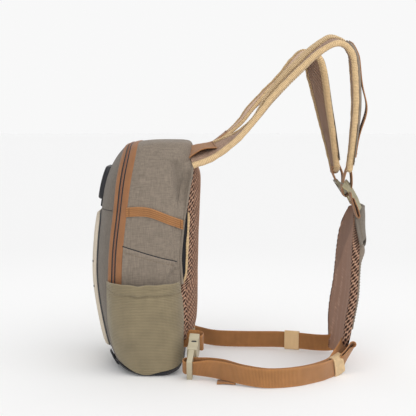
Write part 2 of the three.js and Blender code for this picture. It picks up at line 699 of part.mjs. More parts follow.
function ribbon(rows, width, thick, steps) {
  const frames = ribbonFrames(rows);
  return slab(steps, 1, (along, across, side) => {
    const frame = frames(along);
    const place = frame.centre.clone().addScaledVector(frame.width, (across - 0.5) * width);
    return place.addScaledVector(frame.normal, (side * thick) / 2);
  });
}

// The padded back piece, its cover and the flap at the yoke
const backAt = tableCurve(backRows, 'z');

function backPad(grow) {
  const low = backRows[0].z - grow;
  const high = backRows.at(-1).z + grow;
  return slab(12, 8, (along, across, side) => {
    const row = backAt(THREE.MathUtils.lerp(backRows[0].z, backRows.at(-1).z, along));
    const v = 2 * across - 1;
    const { edge, hollow, crown } = backForm;
    const thick = edge + (row.thick - edge) * (1 - v ** 4);
    const x = side > 0 ? row.x + thick + grow - crown * v * v : row.x - grow - hollow * v * v;
    return new THREE.Vector3(x, (row.half + grow) * v, THREE.MathUtils.lerp(low, high, along));
  });
}

// A cloth layer over the pad's outer face, from a height over it down into it by a depth
function backLayer({ bottom, top, inset, lift = 0 }, height, depth) {
  return slab(8, 6, (along, across, side) => {
    const z = THREE.MathUtils.lerp(bottom, top, along);
    const row = backAt(z);
    const v = 2 * across - 1;
    const { edge, crown } = backForm;
    const pad = edge + (row.thick - edge) * (1 - v ** 4);
    const off = lift * (1 - along) ** 1.5;
    const x = row.x + pad - crown * v * v + off + (side > 0 ? height : height - depth);
    return new THREE.Vector3(x, (row.half - inset) * v, z);
  });
}

function addBack() {
  addPiece('back_pad', backPad(0), 'mesh');
  const coverTop = gap + backCover.thick;
  const cover = toSolid(backLayer(backCover, coverTop, coverTop + 2)).subtract(toSolid(backPad(gap)));
  addPiece('back_pad_cover', toGeometry(cover), 'taupe');
  addPiece('yoke_flap', backLayer(yokeFlap, coverTop + 3 * gap + yokeFlap.thick, yokeFlap.thick), 'taupe');
}

// The adjusters between the strap ends and the back pad; the plate leans down and outwards
const lockLean = new THREE.Vector3(0.56, 0, -0.83).normalize();
const lockFace = new THREE.Vector3(0.83, 0, 0.56).normalize();
const lockTops = { near: new THREE.Vector3(245, -27, 233), far: new THREE.Vector3(242.5, 28, 233) };

function lockPlace(top, down, out) {
  return top.clone().addScaledVector(lockLean, down).addScaledVector(lockFace, out);
}

function addLock(name) {
  const top = lockTops[name];
  const { width, length, thick, bar, slot } = lock;
  const shape = roundedShape(new THREE.Vector2(-width / 2, 0), new THREE.Vector2(width / 2, length), 3);
  for (const from of [bar, 2 * bar + slot]) {
    const low = new THREE.Vector2(-width / 2 + 2.6, from);
    const hole = roundedShape(low, new THREE.Vector2(width / 2 - 2.6, from + slot), 0.8);
    shape.holes.push(new THREE.Path(hole.getPoints(2)));
  }
  const plate = new THREE.ExtrudeGeometry(shape, { depth: thick, bevelEnabled: false, curveSegments: 3 });
  plate.translate(0, 0, -thick / 2);
  const turn = new THREE.Matrix4().makeBasis(new THREE.Vector3(0, -1, 0), lockLean, lockFace);
  plate.applyMatrix4(turn.setPosition(top));
  addPiece(`ladder_lock_${name}`, toGeometry(toSolid(plate)), 'buckle', 0.5);

  const strapEnd = strapFrames(strapRows[name]);
  const end = strapEnd(1);
  const clear = strapBuild.edge / 2 + 5 * gap + webbing.thick / 2;
  const slotMiddle = bar + slot / 2;
  const below = end.centre.clone().addScaledVector(end.ahead, strapTip.bulge + 3);
  const loopRows = rowsAlongY([
    strapPoint(strapEnd(strapTrim.webbing.inside), 0, -clear),
    strapPoint(end, 0, -clear),
    lockPlace(top, 0.5, -5),
    lockPlace(top, slotMiddle - 1, -4.2),
    lockPlace(top, slotMiddle, 0),
    lockPlace(top, slotMiddle - 0.5, 4.4),
    below.addScaledVector(end.normal, clear + 0.6),
    strapPoint(end, 0, clear + 0.6),
    strapPoint(strapEnd(strapTrim.webbing.outside), 0, clear),
  ]);
  addPiece(`adjust_webbing_${name}`, ribbon(loopRows, webbing.width - 1, webbing.thick, 26), 'tan');
  const lowSlot = 2 * bar + 1.5 * slot;
  const tailRows = rowsAlongY([
    lockPlace(top, lowSlot, 1.2),
    lockPlace(top, lowSlot + 0.6, -2.6),
    lockPlace(top, lowSlot + 5, -5.2),
    lockPlace(top, lowSlot + 15, -6.4),
  ]);
  addPiece(`adjust_tail_${name}`, ribbon(tailRows, webbing.width - 1, 2.6, 8), 'orange');
  const tabSteps = [length + gap, length + 7, length + 14];
  const tabRows = rowsAlongY(tabSteps.map((down) => lockPlace(top, down, 0)));
  const tab = toSolid(ribbon(tabRows, webbing.width + 3, 3.2, 4));
  const low = backCover.top + gap;
  const above = sidePrism([[200, low], [300, low], [300, 300], [200, 300]], 0);
  addPiece(`yoke_tab_${name}`, toGeometry(tab.intersect(above)), 'buckle');
}

// Rows of a ribbon whose width lies along Y
function rowsAlongY(points) {
  return points.map((point) => ({ x: point.x, y: point.y, z: point.z, lean: -90 }));
}

// Waist webbings, their keepers and their buckles
function addKeeper(name, frame, { length, layers, spare }) {
  const ring = (grow) => roundedShape(
    new THREE.Vector2(-(webbing.width + spare) / 2 - grow, -layers / 2 - grow),
    new THREE.Vector2((webbing.width + spare) / 2 + grow, layers / 2 + grow), 0.6 + grow);
  const shape = ring(cloth);
  shape.holes.push(new THREE.Path(ring(0).getPoints(2)));
  const band = new THREE.ExtrudeGeometry(shape, { depth: length, bevelEnabled: false, curveSegments: 2 });
  band.translate(0, 0, -length / 2);
  const { width, normal, centre } = frame;
  const turn = new THREE.Matrix4().makeBasis(width, normal, width.clone().cross(normal));
  band.applyMatrix4(turn.setPosition(centre));
  addPiece(name, toGeometry(toSolid(band)), 'beige');
}

function addWaist() {
  const padClear = toSolid(backPad(gap));
  const nearBand = toSolid(ribbon(waistRows.near, webbing.width, webbing.thick, 72)).subtract(padClear);
  addPiece('waist_webbing_near', toGeometry(nearBand), 'tan');
  const farRoom = toSolid(bucklePrism(buckleRun.far, plainBuckle(gap), buckle.thick + 2 * gap));
  const farBand = toSolid(ribbon(waistRows.far, webbing.width, webbing.thick, 24)).subtract(padClear);
  addPiece('waist_webbing_far', toGeometry(farBand.subtract(farRoom)), 'tan');
  const nearLast = waistRows.near.length - 1;
  const inner = ribbonFrames(waistRows.near)(1.5 / nearLast);
  const outer = ribbonFrames(waistRows.near)((nearLast - 1.6) / nearLast);
  const between = { ...inner, centre: inner.centre.clone().lerp(outer.centre, 0.5) };
  addKeeper('keeper_near', between, { length: 12, layers: 12, spare: 7 });
  const alongFar = ribbonFrames(waistRows.far)(6.6 / (waistRows.far.length - 1));
  addKeeper('keeper_far', alongFar, { length: 20, layers: 3.2, spare: 0.8 });
  const flat = new THREE.Shape(endTab.corners.map((corner) => new THREE.Vector2(...corner)));
  const tab = new THREE.ExtrudeGeometry(flat, { depth: endTab.thick, bevelEnabled: false });
  tab.translate(0, 0, gap);
  addPiece('waist_end_tab', toGeometry(toSolid(tab)), 'tan');
}

function boxPath(x0, y0, x1, y1) {
  return [[x0, y0], [x1, y0], [x1, y1], [x0, y1]].map((point) => new THREE.Vector2(...point));
}

// A flat outline made solid along a buckle's run: first axis along it, second across it
function bucklePrism({ start, end }, shape, thick) {
  const body = new THREE.ExtrudeGeometry(shape, { depth: thick, bevelEnabled: false });
  body.translate(0, 0, -thick / 2);
  const along = end.clone().sub(start).normalize();
  const face = new THREE.Vector3(1, 0, 0).addScaledVector(along, -along.x).normalize();
  const turn = new THREE.Matrix4().makeBasis(along, face.clone().cross(along), face);
  body.applyMatrix4(turn.setPosition(start));
  return body;
}

function socketShape() {
  const { socket } = buckle;
  const half = buckle.width / 2;
  const waist = half - 3;
  const side = [[0, half - 2], [2, half], [9, half], [11, waist], [19, waist], [21, half], [socket, half]];
  const other = side.map(([along, across]) => [along, -across]).reverse();
  const shape = new THREE.Shape([...side, ...other].map((point) => new THREE.Vector2(...point)));
  shape.holes.push(new THREE.Path(boxPath(4, 3.5 - half, 8, half - 3.5)));
  return shape;
}

function plugShape() {
  const { bar, slot, plug } = buckle;
  const from = buckle.socket + gap;
  const half = buckle.width / 2;
  const shape = new THREE.Shape(boxPath(from, -half, from + plug, half));
  for (const start of [from + bar, from + 2 * bar + slot]) {
    const low = new THREE.Vector2(start, 1.5 - half);
    const high = new THREE.Vector2(start + slot, half - 1.5);
    shape.holes.push(new THREE.Path(roundedShape(low, high, 0.5).getPoints(1)));
  }
  return shape;
}

function plainBuckle(grow) {
  const half = buckle.width / 2 + grow;
  return new THREE.Shape(boxPath(-grow, -half, 28 + grow, half));
}

function addBuckles() {
  const { near, far } = buckleRun;
  const addHard = (name, body) => addPiece(name, toGeometry(toSolid(body)), 'buckle', 0.5);
  addHard('buckle_socket', bucklePrism(near, socketShape(), buckle.thick));
  addHard('buckle_plug', bucklePrism(near, plugShape(), buckle.plugThick));
  addHard('buckle_far', bucklePrism(far, plainBuckle(0), buckle.thick));
  for (const [side, name] of [[1, 'near'], [-1, 'far']]) {
    const rows = anchorRows.map((row) => ({ ...row, y: side * row.y, lean: side * row.lean }));
    const room = toSolid(bucklePrism(buckleRun[name], plainBuckle(gap), buckle.thick + 2 * gap));
    const band = toSolid(ribbon(rows, webbing.width, webbing.thick, 16));
    addPiece(`buckle_anchor_${name}`, toGeometry(band.subtract(bagForm(gap)).subtract(room)), 'tan');
  }
}

addShells();
addZip();
for (const [side, name] of [[-1, 'near'], [1, 'far']]) {
  addSideTrim(side, name);
  addPocket(side, name);
  addStrap(name);
  addLock(name);
}
addFront();
addChestPad();
addBack();
addWaist();
addBuckles();

export default pack;
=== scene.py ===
import math

import bmesh
import bpy
import numpy as np
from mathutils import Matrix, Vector


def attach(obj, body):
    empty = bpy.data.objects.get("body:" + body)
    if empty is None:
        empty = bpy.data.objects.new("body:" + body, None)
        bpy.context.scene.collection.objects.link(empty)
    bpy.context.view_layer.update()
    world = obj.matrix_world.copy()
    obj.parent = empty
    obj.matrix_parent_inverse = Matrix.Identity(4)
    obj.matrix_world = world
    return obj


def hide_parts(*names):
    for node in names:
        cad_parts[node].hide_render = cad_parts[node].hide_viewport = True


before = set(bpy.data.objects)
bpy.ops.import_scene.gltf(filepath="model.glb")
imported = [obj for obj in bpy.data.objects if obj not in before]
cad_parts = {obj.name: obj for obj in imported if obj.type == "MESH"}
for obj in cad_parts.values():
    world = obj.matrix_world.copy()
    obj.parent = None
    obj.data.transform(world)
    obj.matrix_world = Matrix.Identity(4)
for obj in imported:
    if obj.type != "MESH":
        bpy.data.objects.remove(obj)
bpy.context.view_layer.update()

# A fly fishing chest pack. Lengths in the tables are millimetres and every mesh is made in metres.
mm = 0.001
sides = ((-1, "Near"), (1, "Far"))  # the near side faces the camera, along -Y

# A socket whose sums write Math nodes, so that a finish reads as an expression
class Wire:
    def __init__(self, tree, socket=None):
        self.tree = tree
        self.socket = socket

    def node(self, kind, settings, values, output=0):
        made = self.tree.nodes.new(kind)
        for name, value in settings.items():
            setattr(made, name, value)
        for name, value in values.items():
            if isinstance(value, Wire):
                self.tree.links.new(value.socket, made.inputs[name])
            else:
                made.inputs[name].default_value = value
        return Wire(self.tree, made.outputs[output])

    def into(self, shader, name):
        self.tree.links.new(self.socket, shader.inputs[name])

    def maths(self, operation, first, second=0.0):
        return self.node("ShaderNodeMath", {"operation": operation}, {0: first, 1: second})

    def __add__(self, other):
        return self.maths("ADD", self, other)

    def __radd__(self, other):
        return self.maths("ADD", other, self)

    def __sub__(self, other):
        return self.maths("SUBTRACT", self, other)

    def __rsub__(self, other):
        return self.maths("SUBTRACT", other, self)

    def __mul__(self, other):
        return self.maths("MULTIPLY", self, other)

    def __rmul__(self, other):
        return self.maths("MULTIPLY", other, self)

    def __truediv__(self, other):
        return self.maths("DIVIDE", self, other)

    def wave(self, pitch):
        return self.maths("SINE", self * (2 * math.pi / pitch))

    def step(self, low, high):
        settings = {"interpolation_type": "SMOOTHSTEP"}
        return self.node("ShaderNodeMapRange", settings, {"Value": self, "From Min": low, "From Max": high})

    def noise(self, place, scale, detail=2.0):
        return self.node("ShaderNodeTexNoise", {}, {"Vector": place, "Scale": scale, "Detail": detail})

    def join(self, first, second, third=0.0):
        return self.node("ShaderNodeCombineXYZ", {}, {0: first, 1: second, 2: third})

    def split(self):
        return [self.node("ShaderNodeSeparateXYZ", {}, {0: self}, axis) for axis in range(3)]

    def blend(self, low, high):
        settings = {"data_type": "RGBA"}
        return self.node("ShaderNodeMix", settings, {0: self, 6: low, 7: high}, 2)


# Camera, floor and studio light
shot = {"place": (0.0756, -1.3, 0.309), "down": 4.88, "pixels": 1012.5, "frame": 416, "sensor": 36.0}
studio = {"backdrop": 0.94, "shade": 0.75, "shadeLeft": (0.15, 0.75), "shadeUp": (0.1, 0.35),
          "floorGrey": (0.87, 0.81), "paintedLightPool": (0.3, 1.3), "floorRadius": 25,
          "floor": {"Emission Color": (1, 1, 1, 1), "Emission Strength": 0.07, "Roughness": 0.9,
                    "Specular IOR Level": 0.1},
          "key": {"from": (0.3, -0.7, 0.8), "spread": 90, "strength": 1.1}}


def setStudio():
    scene = bpy.context.scene
    lens = bpy.data.cameras.new("photoCamera")
    lens.sensor_width = shot["sensor"]
    lens.lens = shot["sensor"] * shot["pixels"] / shot["frame"]
    eye = bpy.data.objects.new("photoCamera", lens)
    eye.location = shot["place"]
    eye.rotation_euler = (math.radians(90 - shot["down"]), 0, 0)
    scene.collection.objects.link(eye)
    scene.camera = eye
    scene.view_settings.view_transform = "Standard"

    world = bpy.data.worlds.new("paleStudio")
    world.use_nodes = True
    sky = world.node_tree.nodes["Background"]
    wire = Wire(world.node_tree)
    right, _, up = wire.node("ShaderNodeTexCoord", {}, {}, 0).split()
    dark = studio["shade"] * (0.0 - right).step(*studio["shadeLeft"]) * up.step(*studio["shadeUp"])
    sky.inputs["Color"].default_value = (1, 1, 1, 1)
    (studio["backdrop"] * (1.0 - dark)).into(sky, "Strength")
    scene.world = world

    lamp = bpy.data.lights.new("keyLight", "SUN")
    lamp.angle, lamp.energy = math.radians(studio["key"]["spread"]), studio["key"]["strength"]
    key = bpy.data.objects.new("keyLight", lamp)
    key.rotation_euler = Vector(studio["key"]["from"]).to_track_quat("Z", "Y").to_euler()
    scene.collection.objects.link(key)

    bpy.ops.mesh.primitive_circle_add(vertices=64, radius=studio["floorRadius"], fill_type="NGON", location=(0, 0, 0))
    floor = bpy.context.active_object
    floor.name = "studioFloor"
    coat = bpy.data.materials.new("floorPaint")
    coat.use_nodes = True
    surface = coat.node_tree.nodes["Principled BSDF"]
    wire = Wire(coat.node_tree)
    place = wire.node("ShaderNodeTexCoord", {}, {}, 3)
    away = wire.node("ShaderNodeVectorMath", {"operation": "LENGTH"}, {0: place}, 1)
    near, far = ((grey, grey, grey, 1.0) for grey in studio["floorGrey"])
    # painted light: the floor's colour is paler near the pack, a pool of light that fades out between 0.3 and 1.3 m
    away.step(*studio["paintedLightPool"]).blend(near, far).into(surface, "Base Color")
    for setting, value in studio["floor"].items():
        surface.inputs[setting].default_value = value
    floor.data.materials.append(coat)
    print("studio set")


def paint(red, green, blue):  # a screen colour as the shader's linear one
    scaled = [value / 255 for value in (red, green, blue)]
    return (*[v / 12.92 if v < 0.04045 else ((v + 0.055) / 1.055) ** 2.4 for v in scaled], 1)


def shaded(colour, share):
    return (*[value * share for value in colour[:3]], 1)


def makeFinish(name, look):
    material = bpy.data.materials.new(name)
    material.use_nodes = True
    shader = material.node_tree.nodes["Principled BSDF"]
    wire = Wire(material.node_tree)
    along, across, edge = wire.node("ShaderNodeAttribute", {"attribute_name": "cloth"}, {}, 1).split()
    place = wire.node("ShaderNodeTexCoord", {}, {}, 3)
    colour, height = look["pattern"](wire, look, along, across, edge, place)
    colour.into(shader, "Base Color")
    relief = {"Strength": look["relief"], "Distance": look["depth"] * mm, "Height": height}
    wire.node("ShaderNodeBump", {}, relief).into(shader, "Normal")
    (look["rough"] + 0.12 * (wire.noise(place, 300) - 0.5)).into(shader, "Roughness")
    shader.inputs["Specular IOR Level"].default_value = look.get("gloss", 0.25)
    shader.inputs["Sheen Weight"].default_value = look.get("sheen", 0.0)
    shader.inputs["Sheen Roughness"].default_value = 0.5
    return material


def wovenCloth(wire, look, along, across, edge, place):  # plain weave with slubs, soft mottling, worn edges, and painted shade in creases where the marks fall below zero
    weave = along.wave(look["pitch"]) * across.wave(look["pitch"])
    x, y, z = place.split()
    warp = wire.noise(wire.join(x * 750.0, y * 750.0, z * 90.0), 1.0)
    weft = wire.noise(wire.join(x * 90.0, y * 750.0, z * 750.0), 1.0)
    slub = warp + weft - 1.0
    mottle = wire.noise(place, 45, 3) * 0.6 + wire.noise(place, 420) * 0.4 - 0.5
    share = 0.5 + slub * look["slub"] + mottle * look["mottle"] + weave * look["contrast"] + edge * look["wear"]
    tone = share.step(0.0, 1.0).blend(shaded(look["colour"], 0.72), shaded(look["colour"], 1.26))
    return tone, weave + slub * 2.0 + mottle


def ribbedCloth(wire, look, along, across, edge, place):  # ribs across or along a band, a paler selvedge, and painted shade in creases where the marks fall below zero
    ribs = (across if look["lengthwise"] else along).wave(look["pitch"])
    yarn = (along if look["lengthwise"] else across).wave(look["pitch"] * 0.7)
    mottle = wire.noise(place, look.get("grain", 60), 3)
    share = 0.5 + (mottle - 0.5) * look["mottle"] + (ribs + yarn * 0.4) * look["contrast"] + edge * look["wear"]
    tone = share.step(0.0, 1.0).blend(shaded(look["colour"], 0.66), shaded(look["colour"], 1.3))
    return tone, ribs + yarn * 0.35 + mottle * 0.6


def spacerMesh(wire, look, along, across, edge, place):  # slits in slanted rows; edge marks soften them and, by the finish's share, paint light on lit faces, and marks past 1 paint shade
    down = (across - along * look["slope"]) / look["pitch"]
    shift = wire.maths("MODULO", wire.maths("FLOOR", down), 2.0) * 0.5
    level = wire.maths("FRACT", down) - 0.5
    side = wire.maths("FRACT", along / look["long"] + shift) - 0.5
    reach = wire.maths("SQRT", side * side * look["slit"][0] + level * level * look["slit"][1])
    paintedShade = (edge - 1.0).step(0.0, 1.0)
    edge = wire.maths("MINIMUM", edge, 1.0)
    bold = 1.0 - edge * 0.95
    hole = (1.0 - reach.step(0.55, 1.1)) * bold
    strand = reach.step(1.0, 1.6) * bold
    fuzz = wire.noise(place, 90, 3)
    ribs = wire.noise(wire.join(along * 0.035, across * 0.3), 1.0) - 0.5 + across.wave(3.6) * 0.12
    streaks = wire.noise(wire.join(along * 0.06, across * 0.008), 1.0) - 0.5
    faint = ribs * look["rib"] + streaks * look["rib"] * 2.0 + look["wear"]
    glow = (strand * look["strand"] + (fuzz - 0.5) * 0.5 + edge * faint).step(0.0, 1.0)
    face = paintedShade.blend(glow.blend(look["colour"], look["strandColour"]), shaded(look["colour"], 0.45))
    return (hole * look["hole"]).blend(face, look["holeColour"]), strand - hole * 1.4 + fuzz * 0.5


def mouldedPlastic(wire, look, along, across, edge, place):  # fine grain with a faint worn bloom
    grain = wire.noise(place, 1500, 2)
    bloom = wire.noise(place, 70, 3)
    tone = (0.5 + (bloom - 0.5) * look["mottle"]).blend(shaded(look["colour"], 0.85), shaded(look["colour"], 1.15))
    return tone, grain


def mixed(family, colour, **changes):  # a finish: its family's values, its colour and what differs
    return {**family, "colour": paint(*colour), **changes}


pack = {"pattern": wovenCloth, "pitch": 0.75, "slub": 0.75, "mottle": 0.4, "contrast": 0.1, "wear": 0.25,
        "relief": 0.35, "depth": 0.25, "rough": 0.82, "sheen": 0.15}
band = {"pattern": ribbedCloth, "lengthwise": False, "mottle": 0.5, "contrast": 0.2, "wear": 0.3,
        "relief": 0.6, "depth": 0.4, "rough": 0.8, "sheen": 0.2}
net = {"pattern": spacerMesh, "rough": 0.88, "gloss": 0.12}
hard = {"pattern": mouldedPlastic, "mottle": 0.6, "relief": 0.2, "depth": 0.1, "rough": 0.8}
looks = {
    "taupe": mixed(pack, (134, 122, 109)),
    # A darker copy of the taupe: painted shade for the bag's front, which faces away from the light, and for the yoke
    # flap
    "taupePaintedShade": mixed(pack, (116, 107, 97)),
    "zipTape": mixed(band, (156, 108, 72), pitch=1.1, contrast=0.16, wear=0.1, relief=0.45, depth=0.3),
    "coil": mixed(band, (138, 92, 64), pitch=1.6, mottle=0.4, wear=0.1, relief=0.4, depth=0.3, rough=0.5, gloss=0.45,
                  sheen=0.0),
    "orange": mixed(band, (158, 110, 68), pitch=2.4, sheen=0.25, lengthwise=True),
    "knit": mixed(band, (139, 126, 99), pitch=1.9, contrast=0.11, rough=0.9, sheen=0.3, lengthwise=True),
    "mesh": mixed(net, (160, 122, 100), strandColour=paint(244, 201, 171), holeColour=paint(40, 24, 20), pitch=5.0,
                  long=5.4, slope=0.8, slit=(4.6, 6.6), strand=0.8, hole=0.95, wear=-0.02, rib=0.75, relief=0.8,
                  depth=0.9, sheen=0.08),
    # The straps' mesh colour is darkened as painted shade for their inner faces, and the straps' face marks lift their
    # outer faces as painted light
    "strapMesh": mixed(net, (138, 107, 88), strandColour=paint(214, 181, 155), holeColour=paint(92, 66, 54), pitch=2.6,
                       long=3.6, slope=0.6, slit=(6.0, 9.5), strand=0.7, hole=0.8, wear=1.0, rib=0.5, relief=0.6,
                       depth=0.5, sheen=0.12),
    "binding": mixed(band, (209, 179, 136), pitch=1.9, grain=330, mottle=0.7, wear=0.25, relief=0.5, depth=0.35,
                     rough=0.85),
    "tan": mixed(band, (168, 117, 70), pitch=1.7, wear=0.45),
    "khaki": mixed(band, (152, 142, 110), pitch=1.5, mottle=0.4, contrast=0.15, relief=0.5, depth=0.3, lengthwise=True),
    "plastic": mixed(hard, (183, 173, 147), mottle=0.5, relief=0.15, rough=0.45, gloss=0.45),
    "lockPlastic": mixed(hard, (128, 121, 100), mottle=0.7, relief=0.15, rough=0.5, gloss=0.4),
    "bindingThread": mixed(hard, (176, 150, 112)),
    "cream": mixed(pack, (206, 194, 176), pitch=0.9, slub=0.3, mottle=0.35, contrast=0.08, wear=0.1, relief=0.3,
                   depth=0.2, rough=0.75, sheen=0.0),
    "black": mixed(pack, (44, 44, 48), pitch=1.0, slub=0.3, mottle=0.6, contrast=0.2, wear=0.5, relief=0.5, depth=0.3,
                   rough=0.85, sheen=0.2),
    "blackPlastic": mixed(hard, (40, 40, 44), relief=0.3, depth=0.2, rough=0.5, gloss=0.4),
    "thread": mixed(hard, (132, 118, 98)),
    "darkThread": mixed(hard, (84, 62, 46)),
}
finishes = {name: makeFinish(name + "Finish", look) for name, look in looks.items()}
print("finishes mixed:", len(finishes))


# Making meshes
def makePiece(name, points, faces, cloth, finish, nodes=(), crease=50):
    mesh = bpy.data.meshes.new(name)
    mesh.from_pydata((np.asarray(points) * mm).tolist(), [], faces)
    marks = mesh.attributes.new("cloth", "FLOAT_VECTOR", "POINT")
    marks.data.foreach_set("vector", np.asarray(cloth, np.float32).ravel())
    shape = bmesh.new()
    shape.from_mesh(mesh)
    bmesh.ops.recalc_face_normals(shape, faces=shape.faces)
    shape.to_mesh(mesh)
    shape.free()
    mesh.polygons.foreach_set("use_smooth", [True] * len(mesh.polygons))
    mesh.set_sharp_from_angle(angle=math.radians(crease))
    mesh.materials.append(finishes[finish])
    piece = bpy.data.objects.new(name, mesh)
    bpy.context.scene.collection.objects.link(piece)
    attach(piece, "root")
    if nodes:
        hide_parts(*nodes)
    return piece


def quads(grid):  # faces of a grid of vertex numbers
    return np.stack([grid[:-1, :-1], grid[1:, :-1], grid[1:, 1:], grid[:-1, 1:]], -1).reshape(-1, 4)


def slabFaces(rows, columns):  # numbers of the outer grid's vertices, and the faces of a solid between two grids
    top = np.arange(rows * columns).reshape(rows, columns)
    rim = np.concatenate([top[0, :-1], top[:-1, -1], top[-1, :0:-1], top[:0:-1, 0]])
    ring = np.append(rim, rim[0])
    walls = quads(np.stack([ring, ring + top.size]))
    return top, np.concatenate([quads(top), quads(top + top.size)[:, ::-1], walls])


def slab(name, outer, inner, cloth, finish, nodes=(), crease=50, rear=None):  # a solid between two grids
    _, faces = slabFaces(*outer.shape[:2])
    points = np.concatenate([outer.reshape(-1, 3), inner.reshape(-1, 3)])
    marks = np.concatenate([cloth.reshape(-1, 3), (cloth if rear is None else rear).reshape(-1, 3)])
    return makePiece(name, points, faces.tolist(), marks, finish, nodes, crease)


def loft(name, rings, cloth, finish, nodes=(), crease=50, closed=False):  # a solid through rings of points
    count, around = rings.shape[:2]
    grid = np.arange(count * around).reshape(count, around)
    grid = np.concatenate([grid, grid[:, :1]], 1)
    if closed:
        grid = np.concatenate([grid, grid[:1]], 0)
    faces = quads(grid).tolist()
    if not closed:
        faces += [list(range(around))[::-1], list(range((count - 1) * around, count * around))]
    return makePiece(name, rings.reshape(-1, 3), faces, cloth.reshape(-1, 3), finish, nodes, crease)


def marksOf(first, second, edge=0.0):  # the cloth marks: millimetres along and across, and how near an edge, a value that on some pieces also carries painted shade in creases and painted light on lit faces
    return np.stack(np.broadcast_arrays(first, second, np.asarray(edge, float)), -1)


def gridMarks(grid, edge=0.0):  # marks measured along a grid's rows and columns
    return marksOf(runLength(grid, 0), runLength(grid, 1), edge)


def normalised(vectors):
    return vectors / np.maximum(np.linalg.norm(vectors, axis=-1, keepdims=True), 1e-9)


def gridNormals(grid, away):  # surface directions of a grid, turned away from a point
    normal = normalised(np.cross(np.gradient(grid, axis=0), np.gradient(grid, axis=1)))
    return np.where(np.sum(normal * (grid - np.asarray(away)), -1, keepdims=True) < 0, -normal, normal)


def runLength(grid, axis):  # distance along a grid's rows or columns
    step = np.linalg.norm(np.diff(grid, axis=axis), axis=-1)
    start = np.zeros_like(np.take(step, [0], axis))
    return np.concatenate([start, np.cumsum(step, axis)], axis)


def smoothRows(rows, at):  # smooth values between a table's rows, found by its first column
    rows = np.asarray(rows, float)
    key = rows[:, 0]
    before = np.vstack([rows[:1], rows[:-1]])
    after = np.vstack([rows[1:], rows[-1:]])
    slope = (after - before) / (after[:, :1] - before[:, :1])
    at = np.asarray(at, float)
    i = np.clip(np.searchsorted(key, at, side="right") - 1, 0, len(key) - 2)
    span = (key[i + 1] - key[i])[..., None]
    t = np.clip((at - key[i])[..., None] / span, 0, 1)
    rise = rows[i] + (rows[i + 1] - rows[i]) * t * t * (3 - 2 * t)
    return rise + slope[i] * span * t * (1 - t) ** 2 - slope[i + 1] * span * t * t * (1 - t)


def numbered(rows):
    return [(index, *row) for index, row in enumerate(rows)]


def easeStep(value, low, high):
    t = np.clip((value - low) / (high - low), 0, 1)
    return t * t * (3 - 2 * t)


def between(value, start, full, fade, gone):  # eases from 0 to 1 and back
    return easeStep(value, start, full) * (1 - easeStep(value, fade, gone))


def hill(value, middle, spread):  # 1 at the middle, falling away on both sides
    return np.exp(-((value - middle) / spread) ** 2)


def squared(value, power):  # a sine or cosine turned towards a square's outline
    return np.sign(value) * np.abs(value) ** power


def evenly(count, low=0):  # even shares from low to 1
    return np.linspace(low, 1, count)


def declareSheet(piece, outer):  # a sheet's flat size and area, measured on its outer face
    flat = (runLength(outer, 0)[-1].max(), runLength(outer, 1)[:, -1].max())
    area = np.linalg.norm(np.cross(np.diff(outer, axis=0)[:, :-1], np.diff(outer, axis=1)[:-1]), axis=-1).sum()
    area = np.clip(area, 0.31 * flat[0] * flat[1], flat[0] * flat[1])
    print("sheet:", piece.name, "flat", round(flat[0]), "by", round(flat[1]), "mm")


# Rows of sewn stitches: the thread, a stitch's length, the space after it and the thread's radius
stitches = {
    "plain": ("thread", 2.6, 1.1, 0.32), "band": ("darkThread", 1.6, 0.6, 0.3), "strip": ("darkThread", 1.8, 0.7, 0.3),
    "binding": ("bindingThread", 2.4, 1.0, 0.28), "seam": ("blackPlastic", 1.8, 1.2, 0.45),
}


def threadRow(name, path, up, kind="plain"):
    finish, stitch, space, radius = stitches[kind]
    run = runLength(path, 0)
    count = int(run[-1] // (stitch + space))
    if count < 1:
        return None
    share, lifted, fat = np.array([(0.0, -0.5, 0.55), (0.25, 0.5, 1.0), (0.75, 0.5, 1.0), (1.0, -0.5, 0.55)]).T
    at = (np.arange(count) * (stitch + space) + space / 2)[:, None] + share * stitch
    place = lambda data: np.stack([np.interp(at, run, data[:, k]) for k in range(3)], -1)[:, :, None]
    lift, ahead = normalised(place(up)), normalised(place(np.gradient(path, axis=0)))
    angle = 2 * math.pi * np.arange(5) / 5
    rise = (lifted * radius)[:, None] + radius * fat[:, None] * np.sin(angle)
    aside = radius * fat[:, None] * np.cos(angle)
    points = place(path) + lift * rise[..., None] + np.cross(ahead, lift) * aside[..., None]
    marks = marksOf(at[:, :, None] + 0 * angle, 0.0)
    faces = []
    for base in range(0, 20 * count, 20):
        for ring in range(base, base + 15, 5):
            for turn in range(5):
                a, b = ring + turn, ring + (turn + 1) % 5
                faces.append((a, b, b + 5, a + 5))
        faces += [tuple(range(base + 4, base - 1, -1)), tuple(range(base + 15, base + 20))]
    return makePiece(name, points.reshape(-1, 3), faces, marks.reshape(-1, 3), finish, crease=80)


# A moulded copy of a CAD solid with eased edges
def hardPiece(name, node, finish, slot, bevel, shift=(0, 0, 0), grow=(1, 1, 1), about=(0, 0, 0)):
    shape = bmesh.new()
    shape.from_mesh(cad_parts[node].data)
    bmesh.ops.remove_doubles(shape, verts=shape.verts, dist=1e-6)
    bmesh.ops.dissolve_limit(shape, angle_limit=math.radians(2), verts=shape.verts, edges=shape.edges)
    sharp = [edge for edge in shape.edges if len(edge.link_faces) == 2 and edge.calc_face_angle() > math.radians(25)]
    bmesh.ops.bevel(shape, geom=sharp, offset=bevel * mm, segments=3, profile=0.5, affect="EDGES", clamp_overlap=True)
    bmesh.ops.triangulate(shape, faces=[face for face in shape.faces if len(face.verts) > 4])
    shape.verts.index_update()
    points = np.array([vert.co for vert in shape.verts]) / mm
    points = np.array(about) + (points - np.array(about)) * np.array(grow) + np.array(shift)
    faces = [[vert.index for vert in face.verts] for face in shape.faces]
    shape.free()
    return makePiece(name, points, faces, points, finish, (node,), 35)


